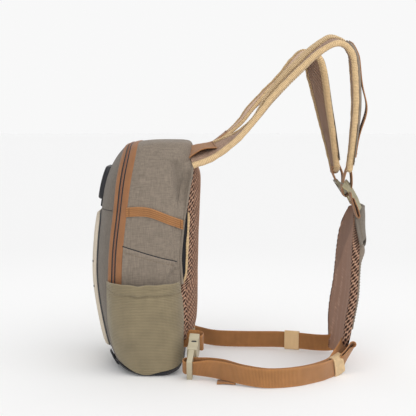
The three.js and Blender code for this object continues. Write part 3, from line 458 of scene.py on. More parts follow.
# The bag: sections from the base to the crown, each a level, its front, back and half width
bag = {
    "rows": [
        (1.5, -26, 34, 87.5), (5, -36, 40.5, 89), (13, -43, 44, 89.5), (27, -49.5, 46.5, 90), (48, -56, 46.5, 90),
        (92, -64, 44.5, 90), (125, -66.5, 41.5, 90), (168, -64, 43.5, 90), (196, -60, 47.5, 89.5),
        (225, -56, 52.5, 88), (245, -50.5, 55.5, 86), (262, -42, 57, 82), (274, -33, 56.5, 77),
        (280.5, -25, 55, 72), (284, -12, 52, 66), (285.4, -1, 46, 55), (286, 8, 38, 35), (286.2, 16, 28, 12),
        (286.25, 21.9, 22.1, 0.2),
    ],
    "frontRound": 2.5, "backRound": 5.0, "wall": 2.0, "around": 224, "levels": 150, "creaseShade": 0.25, "flank": (40, 75),
    "stops": [1.5, 14, 62, 125, 196, 262, 281, 286.25],
    "folds": [
        {"start": (36, 262), "end": (46, 200), "deep": 4.4, "steep": 5.5, "gentle": 8.0},
        {"start": (40, 140), "end": (27, 118), "deep": 2.6, "steep": 1.8, "gentle": 7.0},
    ],
}
bagCore = np.array((0.0, 0.0, 150.0))


def bagShape(level):
    row = smoothRows(bag["rows"], level)
    front, back, half = row[..., 1], row[..., 2], row[..., 3]
    return (front + back) / 2, (back - front) / 2, half


def fold(x, z, start, end, deep, steep, gentle):  # a crease from one point to another, steep on its front side
    startX, startZ = start
    long = math.hypot(end[0] - startX, end[1] - startZ)
    aheadX, aheadZ = (end[0] - startX) / long, (end[1] - startZ) / long
    along = (x - startX) * aheadX + (z - startZ) * aheadZ
    off = (z - startZ) * aheadX - (x - startX) * aheadZ
    across = np.where(off < 0, off / steep, off / gentle)
    return -deep * np.exp(-across ** 2) * between(along, -6, 8, long * 0.5, long + 8)


def bagDents(x, z):
    return sum(fold(x, z, **look) for look in bag["folds"])


def bagRelief(x, y, z):  # soft dents and folds of the bag's cloth, in millimetres outwards
    slack = 0.9 * np.sin(x / 17 + z / 31) * np.sin(z / 26 + 0.7) + 0.5 * np.sin(x / 9 - z / 19)
    sag = -1.6 * hill(x, 18, 26) * hill(z, 225, 20)
    return easeStep(np.abs(y), *bag["flank"]) * (bagDents(x, z) + slack + sag) * between(z, 20, 60, 268, 284)


def bagGrid(level, angle):  # points of the bag's form on a level and round it by an angle
    middle, depth, half = bagShape(level)
    power = 2 / np.where(np.cos(angle) < 0, bag["frontRound"], bag["backRound"])
    x, y = middle + depth * squared(np.cos(angle), power), half * squared(np.sin(angle), power)
    return np.stack([x, y, level + 0 * angle], -1)


def bagSide(x, z, side):  # points of the bag's side where x and z are known
    middle, depth, half = bagShape(z)
    power = np.where(x < middle, bag["frontRound"], bag["backRound"])
    share = np.clip(np.abs(x - middle) / depth, 0, 1)
    return np.stack(np.broadcast_arrays(x, side * half * (1 - share ** power) ** (1 / power), z), -1)


def bagEnd(y, z, power):  # how far the bag's front or back reaches where y and z are known
    middle, depth, half = bagShape(z)
    share = np.clip(np.abs(y) / half, 0, 1)
    return middle, depth * (1 - share ** power) ** (1 / power)


def bagFront(y, z):
    middle, reach = bagEnd(y, z, bag["frontRound"])
    return np.stack(np.broadcast_arrays(middle - reach, y, z), -1)


def bagBack(y, z):
    return sum(bagEnd(y, z, bag["backRound"]))


def raised(grid, height):  # a grid on the bag, lifted with its folds
    relief = bagRelief(*np.moveaxis(grid, -1, 0))
    return grid + gridNormals(grid, bagCore) * (relief + height)[..., None]


# The zip: distances across it from its middle line, and rays from a hub inside the bag that find its path
zipper = {"front": 6.5, "rear": 11.0, "end": 60.0, "seam": 2.0, "tape": 0.9, "teeth": 1.7, "coil": (-0.6, 1.8),
          "frontGroove": -2.3, "rearGroove": 3.4, "overlap": 0.6, "hub": 150.0, "sweep": 127, "rays": (5.0, 170.0),
          "steps": 300, "coilSteps": 1200}


def zipX(z):  # where the zip's middle line lies on the bag's sides
    down = 281 - z
    return -21 - 0.19 * down + 0.00045 * down * down


def addShells():
    stops = bag["stops"]
    level = np.interp(evenly(bag["levels"]), evenly(len(stops)), stops)
    angle = np.linspace(0, 2 * math.pi, bag["around"], endpoint=False) + 1e-4
    grid = bagGrid(level[:, None], angle[None, :])
    x, y, z = np.moveaxis(grid, -1, 0)
    outward = normalised(np.stack([x - 2, y, (z - bagCore[2]) * 0.15], -1))
    grid = grid + outward * bagRelief(x, y, z)[..., None]
    x, y, z = np.moveaxis(grid, -1, 0)
    wrap = np.arange(x.size).reshape(x.shape)
    faces = quads(np.concatenate([wrap, wrap[:, :1]], 1))
    # painted shade: the fold creases on the bag's sides are darkened through the cloth marks
    creaseShade = bagDents(x, z) * bag["creaseShade"] * easeStep(np.abs(y), *bag["flank"])
    around = runLength(np.concatenate([grid, grid[:, :1]], 1), 1)[:, :-1]
    marks = marksOf(around, runLength(grid, 0), creaseShade).reshape(-1, 3)
    flat = grid.reshape(-1, 3)
    middle = flat[faces].mean(1)
    seam = np.where(middle[:, 2] > zipper["end"], zipX(middle[:, 2]), zipX(zipper["end"])) + zipper["seam"]
    ahead = middle[:, 0] < seam
    # the front shell takes the darker copy of the taupe, as painted shade
    for name, node, finish, keep in (("bagFront", "front_shell", "taupePaintedShade", ahead),
                                     ("bagBody", "body_shell", "taupe", ~ahead)):
        used, index = np.unique(faces[keep], return_inverse=True)
        piece = makePiece(name, flat[used], index.reshape(-1, 4).tolist(), marks[used], finish, (node,))
        wall = piece.modifiers.new("wall", "SOLIDIFY")
        wall.thickness, wall.offset = bag["wall"] * mm, -1
    print("bag shells sewn:", len(bag["rows"]), "sections")


def zipGrid(shift, steps):  # points on the bag along the zip, for shifts across it
    turn = evenly(steps, -1)[:, None] * math.radians(zipper["sweep"]) + 0 * shift[None, :]
    low, high = (np.full(turn.shape, reach) for reach in zipper["rays"])
    bottom, top = bag["rows"][0][0], bag["rows"][-1][0]
    for _ in range(40):  # halve the ray until it meets the bag
        reach = (low + high) / 2
        y, z = reach * np.sin(turn), zipper["hub"] + reach * np.cos(turn)
        x = zipX(z) + shift[None, :]
        middle, depth, half = bagShape(np.clip(z, bottom, top))
        power = np.where(x < middle, bag["frontRound"], bag["backRound"])
        inside = (np.abs(x - middle) / depth) ** power + (np.abs(y) / half) ** power < 1
        inside &= z < top - 0.15
        low, high = np.where(inside, reach, low), np.where(inside, high, reach)
    return np.stack([x, y, z], -1)


def addZip():
    for name, low, high, columns in (("Front", -zipper["front"], zipper["frontGroove"], 6),
                                     ("Rear", zipper["rearGroove"], zipper["rear"], 8)):
        grid = zipGrid(np.linspace(low, high, columns), zipper["steps"])
        share = np.abs(evenly(columns, -1))
        marks = gridMarks(grid, share ** 6)
        slab("zipTape" + name, raised(grid, zipper["tape"] * (1 - 0.5 * share ** 4)), raised(grid, -0.4), marks,
             "zipTape", ("zip_tape_" + name.lower(),))
    # painted shade: a black strip under the coil shows dark in the gaps between the coil and the tapes
    groove = (zipper["frontGroove"] - zipper["overlap"], zipper["rearGroove"] + zipper["overlap"])
    grid = zipGrid(np.linspace(*groove, 6), zipper["steps"])
    slab("zipGroove", raised(grid, 0.25), raised(grid, -0.5), gridMarks(grid), "black")
    grid = zipGrid(np.linspace(*zipper["coil"], 7), zipper["coilSteps"])
    tooth = 0.5 + 0.5 * np.cos(2 * math.pi * runLength(grid, 0) / zipper["teeth"])
    height = 0.35 + (0.55 + 0.35 * tooth) * (1 - np.abs(evenly(7, -1)) ** 3)
    slab("zipCoil", raised(grid, height), raised(grid, 0), gridMarks(grid), "coil", ("zip_coil",))
    hardPiece("zipSlider", "zip_slider", "blackPlastic", "zip_black", 0.5)
    print("zip laid")


# What is sewn on the bag's sides
sideTrim = {
    "bandLine": [(-22.8, 200.2), (-8, 201.2), (5, 200), (19, 195), (32, 189.5), (45, 184.6)],
    "bandHalf": 5.7, "bandThick": 1.6, "bandSteps": (60, 14),
    "slipTop": [(-30, 159.5), (2, 149.2), (22, 143.6), (43, 137.6), (50, 135.6)],
    "slipLow": 40.0, "slipBack": 41.5, "slipThick": 1.0, "slipSteps": 60, "lineBack": 46.0, "hem": 5.0,
}


def addSideTrim(side, name):
    low, line = name.lower(), sideTrim["bandLine"]
    steps, columns = sideTrim["bandSteps"]
    middle = smoothRows(numbered(line), np.linspace(0, len(line) - 1, steps))[:, 1:]
    share = evenly(columns, -1)
    grid = sideSkin(middle[:, :1] + 0 * share, middle[:, 1:] + share * sideTrim["bandHalf"], side)
    swell = sideTrim["bandThick"] * (1 - 0.35 * share ** 8) + 0.3
    marks = gridMarks(grid, np.abs(share) ** 6)
    slab("sideBand" + name, raised(grid, swell), raised(grid, 0.2), marks, "orange",
         ("side_band_" + low,))
    for end, place in ((3, "Front"), (-4, "Rear")):
        threadRow(f"sideBandStitch{name}{place}", raised(grid, swell + 0.1)[end], gridNormals(grid, bagCore)[end],
                  "band")

    topX, topZ = np.array(sideTrim["slipTop"], float).T
    a, b = evenly(sideTrim["slipSteps"])[:, None], evenly(sideTrim["slipSteps"])[None, :]
    z = 100 + 0 * a * b
    for _ in range(8):  # settle the front edge, which follows the zip
        left = zipX(np.clip(z, zipper["end"], 290)) + zipper["rear"] + 0.4
        x = left + (sideTrim["slipBack"] - left) * a
        z = sideTrim["slipLow"] + (np.interp(x, topX, topZ) - sideTrim["slipLow"]) * b
    grid = sideSkin(x, z, side)
    fromTop = np.interp(x, topX, topZ) - z
    height = 0.35 + sideTrim["slipThick"] - 0.5 * hill(fromTop, sideTrim["hem"], 0.9)
    outer = raised(grid, height)
    piece = slab("slipPanel" + name, outer, raised(grid, 0.2), marksOf(x, z, hill(fromTop, 0, 1.5)), "taupe",
                 ("slip_panel_" + low,))
    declareSheet(piece, outer)
    sewn = (np.arange(len(a)), np.argmin(np.abs(fromTop - sideTrim["hem"]), 1))
    path, up = raised(grid, height + 0.1)[sewn], gridNormals(grid, bagCore)[sewn]
    threadRow("slipStitch" + name, path[1:-1], up[1:-1])
    x = np.linspace(topX[0] + 0.5, sideTrim["lineBack"], 80)[:, None] + np.zeros((1, 4))
    z = np.interp(x, topX, topZ) + np.linspace(-0.3, 1.2, 4)
    grid = sideSkin(x, z, side)
    slab("slipShadow" + name, raised(grid, 0.7), raised(grid, 0.1), marksOf(x, z), "black")
    print("side trimmed:", low)


# The stretch pocket: its lower edge by x, its hem, and the sewn band below the hem
pocket = {
    "edge": [(-47, 60), (-40.5, 40.6), (-31, 20.5), (-17, 9), (0, 3.6), (20, 7), (34, 11), (42, 18)],
    "hem": 115.0, "thick": 1.4, "gape": 11.0, "band": 14.0, "steps": (112, 94),
}
pocket["front"], pocket["back"] = pocket["edge"][0][0], pocket["edge"][-1][0]


def pocketFloor(x):  # the pocket's lower edge
    return smoothRows(pocket["edge"], x)[..., 1]


def pocketHem(x):  # the pocket's wavy upper edge
    arch = np.sin((x - pocket["front"]) / (pocket["back"] - pocket["front"]) * math.pi)
    return pocket["hem"] + (0.7 * np.sin(x / 6.5) + 0.5 * np.sin(x / 3.1 + 1) - 1.2) * arch


def addPocket(side, name):
    first, last, band = pocket["front"], pocket["back"], pocket["band"]
    a, b = evenly(pocket["steps"][0])[:, None], evenly(pocket["steps"][1])[None, :]
    x = first + (last - first) * (0.5 - 0.5 * np.cos(math.pi * a)) + 0 * b
    z = pocketFloor(x) + (pocketHem(x) - pocketFloor(x)) * b
    grid = bagSide(x, z, side)
    across = np.maximum(0, 1 - ((x - (first + last) / 2) / ((last - first) / 2)) ** 2)
    down = pocketHem(x) - z
    seat = 0.4 + 2.2 * easeStep(x, first, first + 12)
    gape = pocket["gape"] * across * easeStep(z, 10, pocket["hem"] - 25)
    gather = np.sin(x / 2.6 + 0.8 * np.sin(x / 9)) * hill(down, band, 8) * 0.45
    pinch = -1.6 * hill(down, band, 2.0) + 0.6 * hill(down, 0, 1.6)
    drape = 0.8 * np.sin(x / 15 + z / 24) * np.sin(z / 19) * across
    height = seat + gape + (gather + pinch) * across + drape
    outer = raised(grid, height + pocket["thick"])
    # painted shade along the crease at the hem band and along short creases just below the hem's top
    creaseShade = hill(down, band, 1.3) * between(x, -30, -10, 18, 36)
    creaseShade += 0.7 * hill(down, 7 - 0.06 * x, 1.0) * between(x, 0, 8, 20, 28)
    piece = slab("stretchPocket" + name, outer, raised(grid, height), marksOf(x, z, hill(down, 0, 1.3) - creaseShade),
                 "knit", ("stretch_pocket_" + name.lower(),))
    column = int(np.argmin(np.abs((pocketHem(0.0) - pocketFloor(0.0)) * (1 - b[0]) - band)))
    path = raised(grid, height + pocket["thick"] + 0.1)[:, column]
    threadRow("pocketHemStitch" + name, path[4:-4], gridNormals(outer, bagCore)[4:-4, column])
    declareSheet(piece, outer)
    print("pocket sewn:", name.lower())


# What is sewn on the bag's front: plates with rounded corners, each with its half width and levels
front = {
    "trim": {"half": 47.5, "levels": (22.5, 198.5), "round": 26.5, "thick": 1.2, "lift": 0.3, "ease": 2.2, "steps": 40},
    "panel": {"half": 45.0, "levels": (25, 196), "round": 24.0, "thick": 3.6, "lift": 1.8, "ease": 4.5, "steps": 70},
    "patch": {"half": 30.0, "levels": (211.0, 252.0), "round": 9.0, "thick": 5.5, "lift": 0.3, "ease": 3, "steps": 40},
    "tab": {"half": 7.0, "levels": (200.5, 210.0), "round": 2.0, "thick": 2.4, "lift": 0.3, "ease": 1, "steps": 16},
    "loop": {"half": 10.0, "levels": (6.0, 21.5), "round": 1.0, "thick": 1.8, "lift": 1.8, "ease": 1, "steps": 18},
    "eyelet": {"half": 1.5, "round": 1.4, "thick": 0.8, "lift": 5.2, "ease": 0.6, "steps": 12},
    "eyelets": [(-41.5, 135.0), (-41.5, 104.0), (41.5, 135.0), (41.5, 104.0)],
    "loopMiddle": 38.0, "seam": 200.9, "seamRun": (46, 76),
}


def roundedPad(name, look, finish, nodes=(), middle=0.0):  # a cushioned plate on the bag's front
    u, v = evenly(look["steps"], -1)[:, None], evenly(look["steps"], -1)[None, :]
    low, high = look["levels"]
    half, tall, corner, ease = look["half"], (high - low) / 2, look["round"], look["ease"]
    y, z = u * half + 0 * v, v * tall + 0 * u
    overY, overZ = np.maximum(np.abs(y) - (half - corner), 0), np.maximum(np.abs(z) - (tall - corner), 0)
    reach = np.hypot(overY, overZ)
    pull = np.where(reach > 1e-6, np.maximum(overY, overZ) / np.maximum(reach, 1e-6), 1)
    inset = np.minimum(np.minimum(half - np.abs(y), tall - np.abs(z)), ease)
    y = np.sign(y) * (np.minimum(np.abs(y), half - corner) + overY * pull)
    z = np.sign(z) * (np.minimum(np.abs(z), tall - corner) + overZ * pull)
    grid = bagFront(middle + y, (high + low) / 2 + z)
    lip = np.sqrt(np.clip(1 - (1 - inset / ease) ** 2, 0, 1))
    outer = raised(grid, look["lift"] + look["thick"] * (0.25 + 0.75 * lip))
    slab(name, outer, raised(grid, look["lift"] - 0.2), marksOf(y, z, 1 - lip), finish, nodes)


def addFront():
    roundedPad("frontPanelTrim", front["trim"], "black", ("front_panel_trim",))
    roundedPad("frontPanel", front["panel"], "cream", ("front_panel",))
    roundedPad("frontPatch", front["patch"], "blackPlastic", ("front_patch",))
    roundedPad("patchTab", front["tab"], "black", ("patch_tab",))
    for side, name in sides:
        seam = bagFront(side * np.linspace(*front["seamRun"], 30), np.full(30, front["seam"]))
        threadRow("frontSeam" + name, seam, normalised(seam - bagCore), "seam")
    for number, (y, z) in enumerate(front["eyelets"]):
        look = {**front["eyelet"], "levels": (z - front["eyelet"]["half"], z + front["eyelet"]["half"])}
        roundedPad(f"frontEyelet{number}", look, "blackPlastic", middle=y)
    for side, name in sides:
        roundedPad("bottomLoop" + name, front["loop"], "black", ("bottom_loop_" + name.lower(),),
                   side * front["loopMiddle"])
    print("front sewn")


# The base: its upper edge by x, and the point on the floor that its underside runs to
baseTrim = {"edge": [(-70, 14), (-48, 14), (-34, 13), (-20, 7), (0, 2.4), (42, 13), (70, 18)], "level": 1.5,
            "hub": (4.0, 0.0, 1.5), "steps": (161, 16, 8), "thick": 1.3, "ridge": 0.8}


def addBase():
    edgeX, edgeZ = np.array(baseTrim["edge"], float).T
    around, up, inward = baseTrim["steps"]
    angle, share = np.linspace(0, 2 * math.pi, around)[:, None] + 1e-4, evenly(up)[None, :]
    level = 5 + 0 * angle * share
    for _ in range(8):  # settle the levels under the edge
        x = bagGrid(level, angle)[..., 0]
        level = baseTrim["level"] + (np.interp(x, edgeX, edgeZ) - baseTrim["level"]) * share
    grid = bagGrid(level, angle)
    hub, down = np.array(baseTrim["hub"]), np.array((0.0, 0.0, -1.0))
    under = hub + (grid[:, :1] - hub) * evenly(inward)[None, :-1, None]
    turn = easeStep(np.arange(up), -1, 4)[None, :, None]
    walls = normalised(gridNormals(grid, bagCore) * turn + down * (1 - turn))
    whole = np.concatenate([under, grid], 1)
    facing = np.concatenate([np.broadcast_to(down, under.shape), walls], 1)
    thick = baseTrim["thick"] + np.concatenate([np.zeros(inward - 1), hill(share[0], 1, 0.12) * baseTrim["ridge"]])
    slab("bagBase", whole + facing * thick[None, :, None], whole + facing * 0.2, gridMarks(whole), "black",
         ("base_panel",))
    print("base sewn")


# Pads: the mesh panel on the bag's back and the back pad, swollen on a coarse grid and then drawn on a fine one
padFine = (172, 160)
puffing = {"stiff": 12, "bend": 1.5, "quality": 6, "frames": 20}
chest = {
    "rows": [(40, 44, 56, 62), (50, 42.5, 59.4, 71), (100, 41, 60.6, 78), (108, 43, 60.6, 78), (115, 47.5, 60.6, 78),
             (129, 49.4, 61, 78), (142, 49.7, 61.3, 78), (167, 50.9, 61.9, 78), (189, 52.1, 62.9, 78),
             (200, 52.8, 63.3, 78), (215, 52, 64, 74.5), (240, 52.5, 65, 72.5), (257, 54, 65.6, 70)],
    "tuck": {"below": (106, 114), "above": (196, 210), "in": 4.5, "grow": 5.0, "sink": 3.0},
    "piping": [(112, 44.5), (141, 42.5), (155, 43.1), (177, 45.3), (195, 47.4), (207, 49.6), (227, 52.7), (245, 56),
               (262, 57.4), (272, 56.6)],
    "runOut": (252, 272), "pipe": 1.5, "pipeY": 80.0, "flange": 11.0, "sag": 3.2, "sagLevels": (198, 216, 238, 258),
    "shadowGapTop": 240.0, "clear": 3.4, "binding": 4.0, "thick": 2.9, "coarse": (46, 54), "face": (0.94, 0.86),
    "pressure": 3.0, "swell": 3.0, "fill": 0.6, "skirt": 1.0, "ridge": 13.0,
}


def meshDent(along, across):  # how deep the mesh's slits are pressed in, the same slits as the finish shows
    look = looks["mesh"]
    down = (across - along * look["slope"]) / look["pitch"]
    side = np.mod(along / look["long"] + np.mod(np.floor(down), 2) * 0.5, 1) - 0.5
    reach = np.sqrt(look["slit"][0] * side ** 2 + look["slit"][1] * (np.mod(down, 1) - 0.5) ** 2)
    return -0.6 * (1 - easeStep(reach, 0.55, 1.2))


def puff(points, faces, held, look):  # cloth simulation that swells a pad between its held points
    mesh = bpy.data.meshes.new("padCloth")
    mesh.from_pydata((points * mm).tolist(), [], faces.tolist())
    pad = bpy.data.objects.new("padCloth", mesh)
    scene = bpy.context.scene
    scene.collection.objects.link(pad)
    pins = pad.vertex_groups.new(name="held")
    pins.add(np.flatnonzero(held).tolist(), 1.0, "REPLACE")
    cloth = pad.modifiers.new("cloth", "CLOTH")
    settings = cloth.settings
    settings.use_pressure, settings.uniform_pressure_force = True, look["pressure"]
    settings.effector_weights.gravity = 0
    settings.vertex_group_mass = "held"
    settings.tension_stiffness = settings.compression_stiffness = puffing["stiff"]
    settings.bending_stiffness, settings.quality = puffing["bend"], puffing["quality"]
    cloth.point_cache.frame_start, cloth.point_cache.frame_end = 1, puffing["frames"]
    for number in range(1, puffing["frames"] + 1):
        scene.frame_set(number)
    shown = pad.evaluated_get(bpy.context.evaluated_depsgraph_get())
    moved = np.zeros(len(points) * 3)
    shown.data.vertices.foreach_get("co", moved)
    moved = moved.reshape(-1, 3) / mm - points
    scene.frame_set(1)
    bpy.data.objects.remove(pad)
    far = np.linalg.norm(moved, axis=1, keepdims=True)
    return points + moved * np.minimum(1, look["swell"] / np.maximum(far, 1e-6))


def finer(grid, rows, columns):  # a grid resampled on smooth curves
    alongRows = smoothGrid(grid, np.linspace(0, grid.shape[0] - 1, rows))
    return smoothGrid(alongRows.swapaxes(0, 1), np.linspace(0, grid.shape[1] - 1, columns)).swapaxes(0, 1)


def smoothGrid(grid, at):
    flat = grid.reshape(grid.shape[0], -1)
    table = np.concatenate([np.arange(grid.shape[0])[:, None], flat], 1)
    return smoothRows(table, at)[:, 1:].reshape(len(at), *grid.shape[1:])


def softPad(outer, inner, look):  # the outer face of a pad after it has swollen, its rim and inner face held
    top, faces = slabFaces(*outer.shape[:2])
    held = np.ones(2 * top.size, bool)
    held[top[1:-1, 1:-1].ravel()] = False
    points = np.concatenate([outer.reshape(-1, 3), inner.reshape(-1, 3)])
    side = points[faces[0]]
    if np.dot(np.cross(side[1] - side[0], side[2] - side[0]), (outer - inner)[0, 0]) < 0:
        faces = faces[:, ::-1]
    return puff(points, faces, held, look)[: top.size].reshape(outer.shape)


def padSpread(count, face):  # shares over a pad's face, and shares down the wall beyond its edge
    share = evenly(count, -1)
    return np.sign(share) * np.minimum(np.abs(share) / face, 1), np.clip((np.abs(share) - face) / (1 - face), 0, 1)


def padGrid(look):  # shares across and up a pad, its levels, and how far each point lies down its walls
    low, high = look["rows"][0][0], look["rows"][-1][0]
    up, drop = (value[:, None] for value in padSpread(look["coarse"][0], look["face"][0]))
    across, wall = padSpread(look["coarse"][1], look["face"][1])
    z = (low + high) / 2 + (high - low) / 2 * up + 0 * across
    return across, up, z, wall, 1 - (1 - wall) * (1 - drop)


def chestEdge(y, z):  # where the pad's edge lies, clear of the bag's back
    return np.maximum(smoothRows(chest["rows"], z)[..., 1], bagBack(y, z) + chest["clear"])


def chestTuck(z):  # 1 where the binding is tucked behind the mesh
    tuck = chest["tuck"]
    return 1 - easeStep(z, *tuck["below"]) + easeStep(z, *tuck["above"])


def chestOutline():
    levels = np.linspace(chest["rows"][0][0], chest["rows"][-1][0], 60)
    half = smoothRows(chest["rows"], levels)[:, 3] - chest["tuck"]["in"] * chestTuck(levels)
    cross = evenly(40, -1)[1:-1]
    y = np.concatenate([half, -cross * half[-1], -half[::-1], cross * half[0]])
    top, bottom = levels[-1] - chest["tuck"]["in"], levels[0] + chest["tuck"]["in"]
    z = np.concatenate([levels, 0 * cross + top, levels[::-1], 0 * cross + bottom])
    path = np.stack([chestEdge(y, z) - chest["tuck"]["sink"] * chestTuck(z), y, z], -1)
    for _ in range(6):
        path = (np.roll(path, 1, 0) + 2 * path + np.roll(path, -1, 0)) / 4
    return path


def sideSkin(x, z, side):  # the bag's side, carried on along the flange to the piping
    grid = bagSide(x, z, side)
    pipe = smoothRows(chest["piping"], z)[..., 1]
    foot = bagSide(pipe - chest["flange"], z, side)[..., 1]
    run = (x - pipe + chest["flange"]) / chest["flange"]
    level = foot + (side * chest["pipeY"] - foot) * run
    held = (run > 0) & (z > chest["piping"][0][0] - 3) & (z < chest["runOut"][1])
    grid[..., 1] = np.where(held, side * np.maximum(np.abs(grid[..., 1]), np.abs(level)), grid[..., 1])
    return grid


def addChestPad():
    across, up, z, wall, sink = padGrid(chest)
    _, start, crown, half = np.moveaxis(smoothRows(chest["rows"], z), -1, 0)
    y = (half - 3.5 + chest["tuck"]["grow"] * chestTuck(z)) * across
    rise = (1 - np.abs(across) ** 6) * (1 - np.abs(up) ** 16)
    base = chestEdge(y, z)
    top = np.maximum(base, start + (crown - start) * rise) + 1.6
    under = base - 2.4 - chest["skirt"] * chestTuck(z) * np.abs(across) ** 20
    outer = np.stack([top + (under - top) * sink, y + np.sign(y) * np.sin(math.pi * wall), z], -1)
    inner = np.stack([under - 0.3, y * 0.985, z], -1)
    face, rear = finer(softPad(outer, inner, chest), *padFine), finer(inner, *padFine)
    fromEdge = runLength(face, 1)
    fromEdge = np.minimum(fromEdge, fromEdge[:, -1:] - fromEdge) - chest["ridge"]
    beyond = easeStep(fromEdge, 0, 1.5)
    marksAlong, marksAcross = -np.abs(fromEdge), face[..., 2] + 1.8 * np.round(beyond)
    rim = np.maximum(*np.meshgrid(*(np.abs(evenly(count, -1)) for count in padFine), indexing="ij")) ** 40
    dent = meshDent(marksAlong, marksAcross) * (1 - rim)
    face = face + gridNormals(face, (0, 0, 150)) * dent[..., None]
    marks = marksOf(marksAlong, marksAcross, 0.3 * beyond)
    piece = slab("chestPad", face, rear, marks, "mesh", ("chest_pad",), 80)
    print("chest pad sewn")


def addChestBinding():
    path = chestOutline()
    ahead = normalised(np.roll(path, -1, 0) - np.roll(path, 1, 0))
    outX = np.array((1.0, 0.0, 0.0))
    inward = normalised(np.cross(outX, ahead))
    inward *= np.sign(np.sum(inward * (path.mean(0) - path), -1, keepdims=True))
    turn = np.linspace(0, 2 * math.pi, 15)[:-1]
    width, thick = chest["binding"] / 2, chest["thick"] / 2
    section = np.stack([squared(np.cos(turn), 0.6) * width, squared(np.sin(turn), 0.6) * thick], -1)
    run = runLength(np.concatenate([path, path[:1]]), 0)[:-1]
    uneven = (1 + 0.28 * np.sin(run / 5.3) * np.sin(run / 17 + 1))[:, None, None]
    rings = path[:, None] + inward[:, None] * (width + section[None, :, :1]) + outX * section[None, :, 1:] * uneven
    marks = marksOf(run[:, None], section[None, :, 0], np.abs(section[None, :, 1] / thick) ** 4 * 0.5)
    loft("chestBinding", rings, marks, "binding", ("chest_pad_binding",), closed=True)
    sewn = path + inward * (2 * width - 1.0) + outX * (thick - 0.1)
    threadRow("chestBindingStitch", sewn, np.broadcast_to(outX, sewn.shape))
    print("chest pad bound")


def addChestSide(side, name):  # a black strip as painted shade in the gap before the pad, then piping and flange, between the bag's side and the pad
    low, high = chest["piping"][0][0], chest["piping"][-1][0]
    z = np.linspace(low - 2, chest["shadowGapTop"], 80)[:, None] + np.zeros((1, 6))
    y = side * (smoothRows(chest["rows"], z)[..., 3] - 2.0)
    first = smoothRows(chest["piping"], z)[..., 1] - 1.0
    x = first + (chestEdge(y, z) - first) * evenly(6)
    outer, inner = np.stack([x, y, z], -1), np.stack([x, y - side * 1.2, z], -1)
    # painted shade: a black strip in the gap between the piping and the pad
    slab("chestShadowGap" + name, outer, inner, marksOf(x, z), "black")

    level = np.linspace(low, high, 120)
    pipe = smoothRows(chest["piping"], level)[:, 1]
    core = np.stack([pipe, side * chest["pipeY"] + 0 * pipe, level], -1)
    corner = bagSide(np.minimum(pipe, bagBack(0 * pipe, level) - 0.6), level, side)
    core += (corner - core) * easeStep(level, *chest["runOut"])[:, None]
    spin = np.linspace(0, 2 * math.pi, 11)[:-1]
    ring = np.stack([np.cos(spin), np.sin(spin), 0 * spin], -1) * chest["pipe"]
    marks = marksOf(level[:, None], spin[None, :] * chest["pipe"])
    loft("bagPiping" + name, core[:, None] + ring[None], marks, "taupe")

    foot = bagSide(pipe - chest["flange"], level, side)
    foot[:, 1] += side * (bagRelief(*foot.T) - 0.4)
    share = evenly(8)[None, :, None]
    fin = foot[:, None] * (1 - share) + core[:, None] * share
    slack = between(level, *chest["sagLevels"])[:, None] * np.sin(math.pi * share[..., 0])
    fin[..., 1] -= side * chest["sag"] * slack
    skin = fin - np.array((0.0, side, 0.0))
    slab("bagFlange" + name, fin, skin, marksOf(fin[..., 0], fin[..., 2]), "taupe")
    print("chest side sewn:", name.lower())


# Shoulder straps: points on the edge towards the near side, with roll, width and how far the section curls
strap = {
    "Near": [
        (58, -80, 254.5, 27, 52, 8), (80, -80, 263.2, 22, 52, 10), (97, -80, 275, 14, 52, 10),
        (114, -81, 290.3, 5, 51, 10), (132, -82, 312, -0.5, 50, 15), (150, -82, 337, 5, 50, 55),
        (168, -83, 356.5, 10, 50, 68), (189, -84, 376.5, 11, 50, 66), (207, -84, 391.5, 12, 50, 52),
        (227, -83, 402, 14, 50, 40), (240, -81, 400.5, 10, 50, 30), (248, -79, 391.5, 6, 50, 20),
        (252, -76, 376, 4, 50, 10), (255.8, -65, 329, 4, 48, 4), (254, -53, 280, 5, 44, 4), (251.5, -46, 249, 5, 38, 4),
    ],
    "Far": [
        (58, 29, 262, 0, 52, 8), (92, 30, 285.5, 1, 52, 14), (117.5, 29, 306, 4, 51, 20), (132, 28, 323.5, 6, 50, 30),
        (150, 28, 346, 4, 50, 55), (172.5, 28, 368, 5, 50, 60), (192, 28, 388.5, 7, 50, 40), (207, 28, 400, 4, 50, 26),
        (221.5, 28, 394, -18, 50, 20), (229, 27, 374, -22, 50, 18), (234.5, 23, 328.5, -14, 48, 15),
        (238.5, 17, 295.5, -9, 45, 10), (243, 9, 251, -3, 38, 4),
    ],
    "bindings": {"Near": [(0, 9), (0.2, 9.5), (0.3, 12), (0.4, 16.5), (0.6, 16), (0.72, 12), (1, 10)],
                 "Far": [(0, 6.5), (0.34, 6.5), (0.46, 10), (0.7, 11), (1, 10)]},
    "edges": {"Near": [(0, 7), (1, 7)], "Far": [(0, 4.4), (0.32, 4.8), (0.5, 7), (1, 7.5)]},
    "root": 500.0, "endBulge": 6.0, "steps": 260, "fill": 0.55, "paintedLight": {"Near": 0.25, "Far": 0.9},
    "loop": {"from": -0.008, "to": 0.112, "half": 15.5, "shift": 6.0, "thick": 1.6}, "hump": {"Near": 6.5, "Far": 0.6},
    "cover": {"from": 0.69, "to": 0.985, "half": 17.0, "shift": -5.0, "thin": (0.86, 0.975)},
    "covers": {"Near": 3.2, "Far": 0.9},
    "runner": {"from": 0.695, "to": 0.965, "half": 11.0, "shift": -5.0, "peak": 0.877, "spread": 0.028, "thick": 1.5},
    "bow": {"Near": 6.2, "Far": 0.3},
}


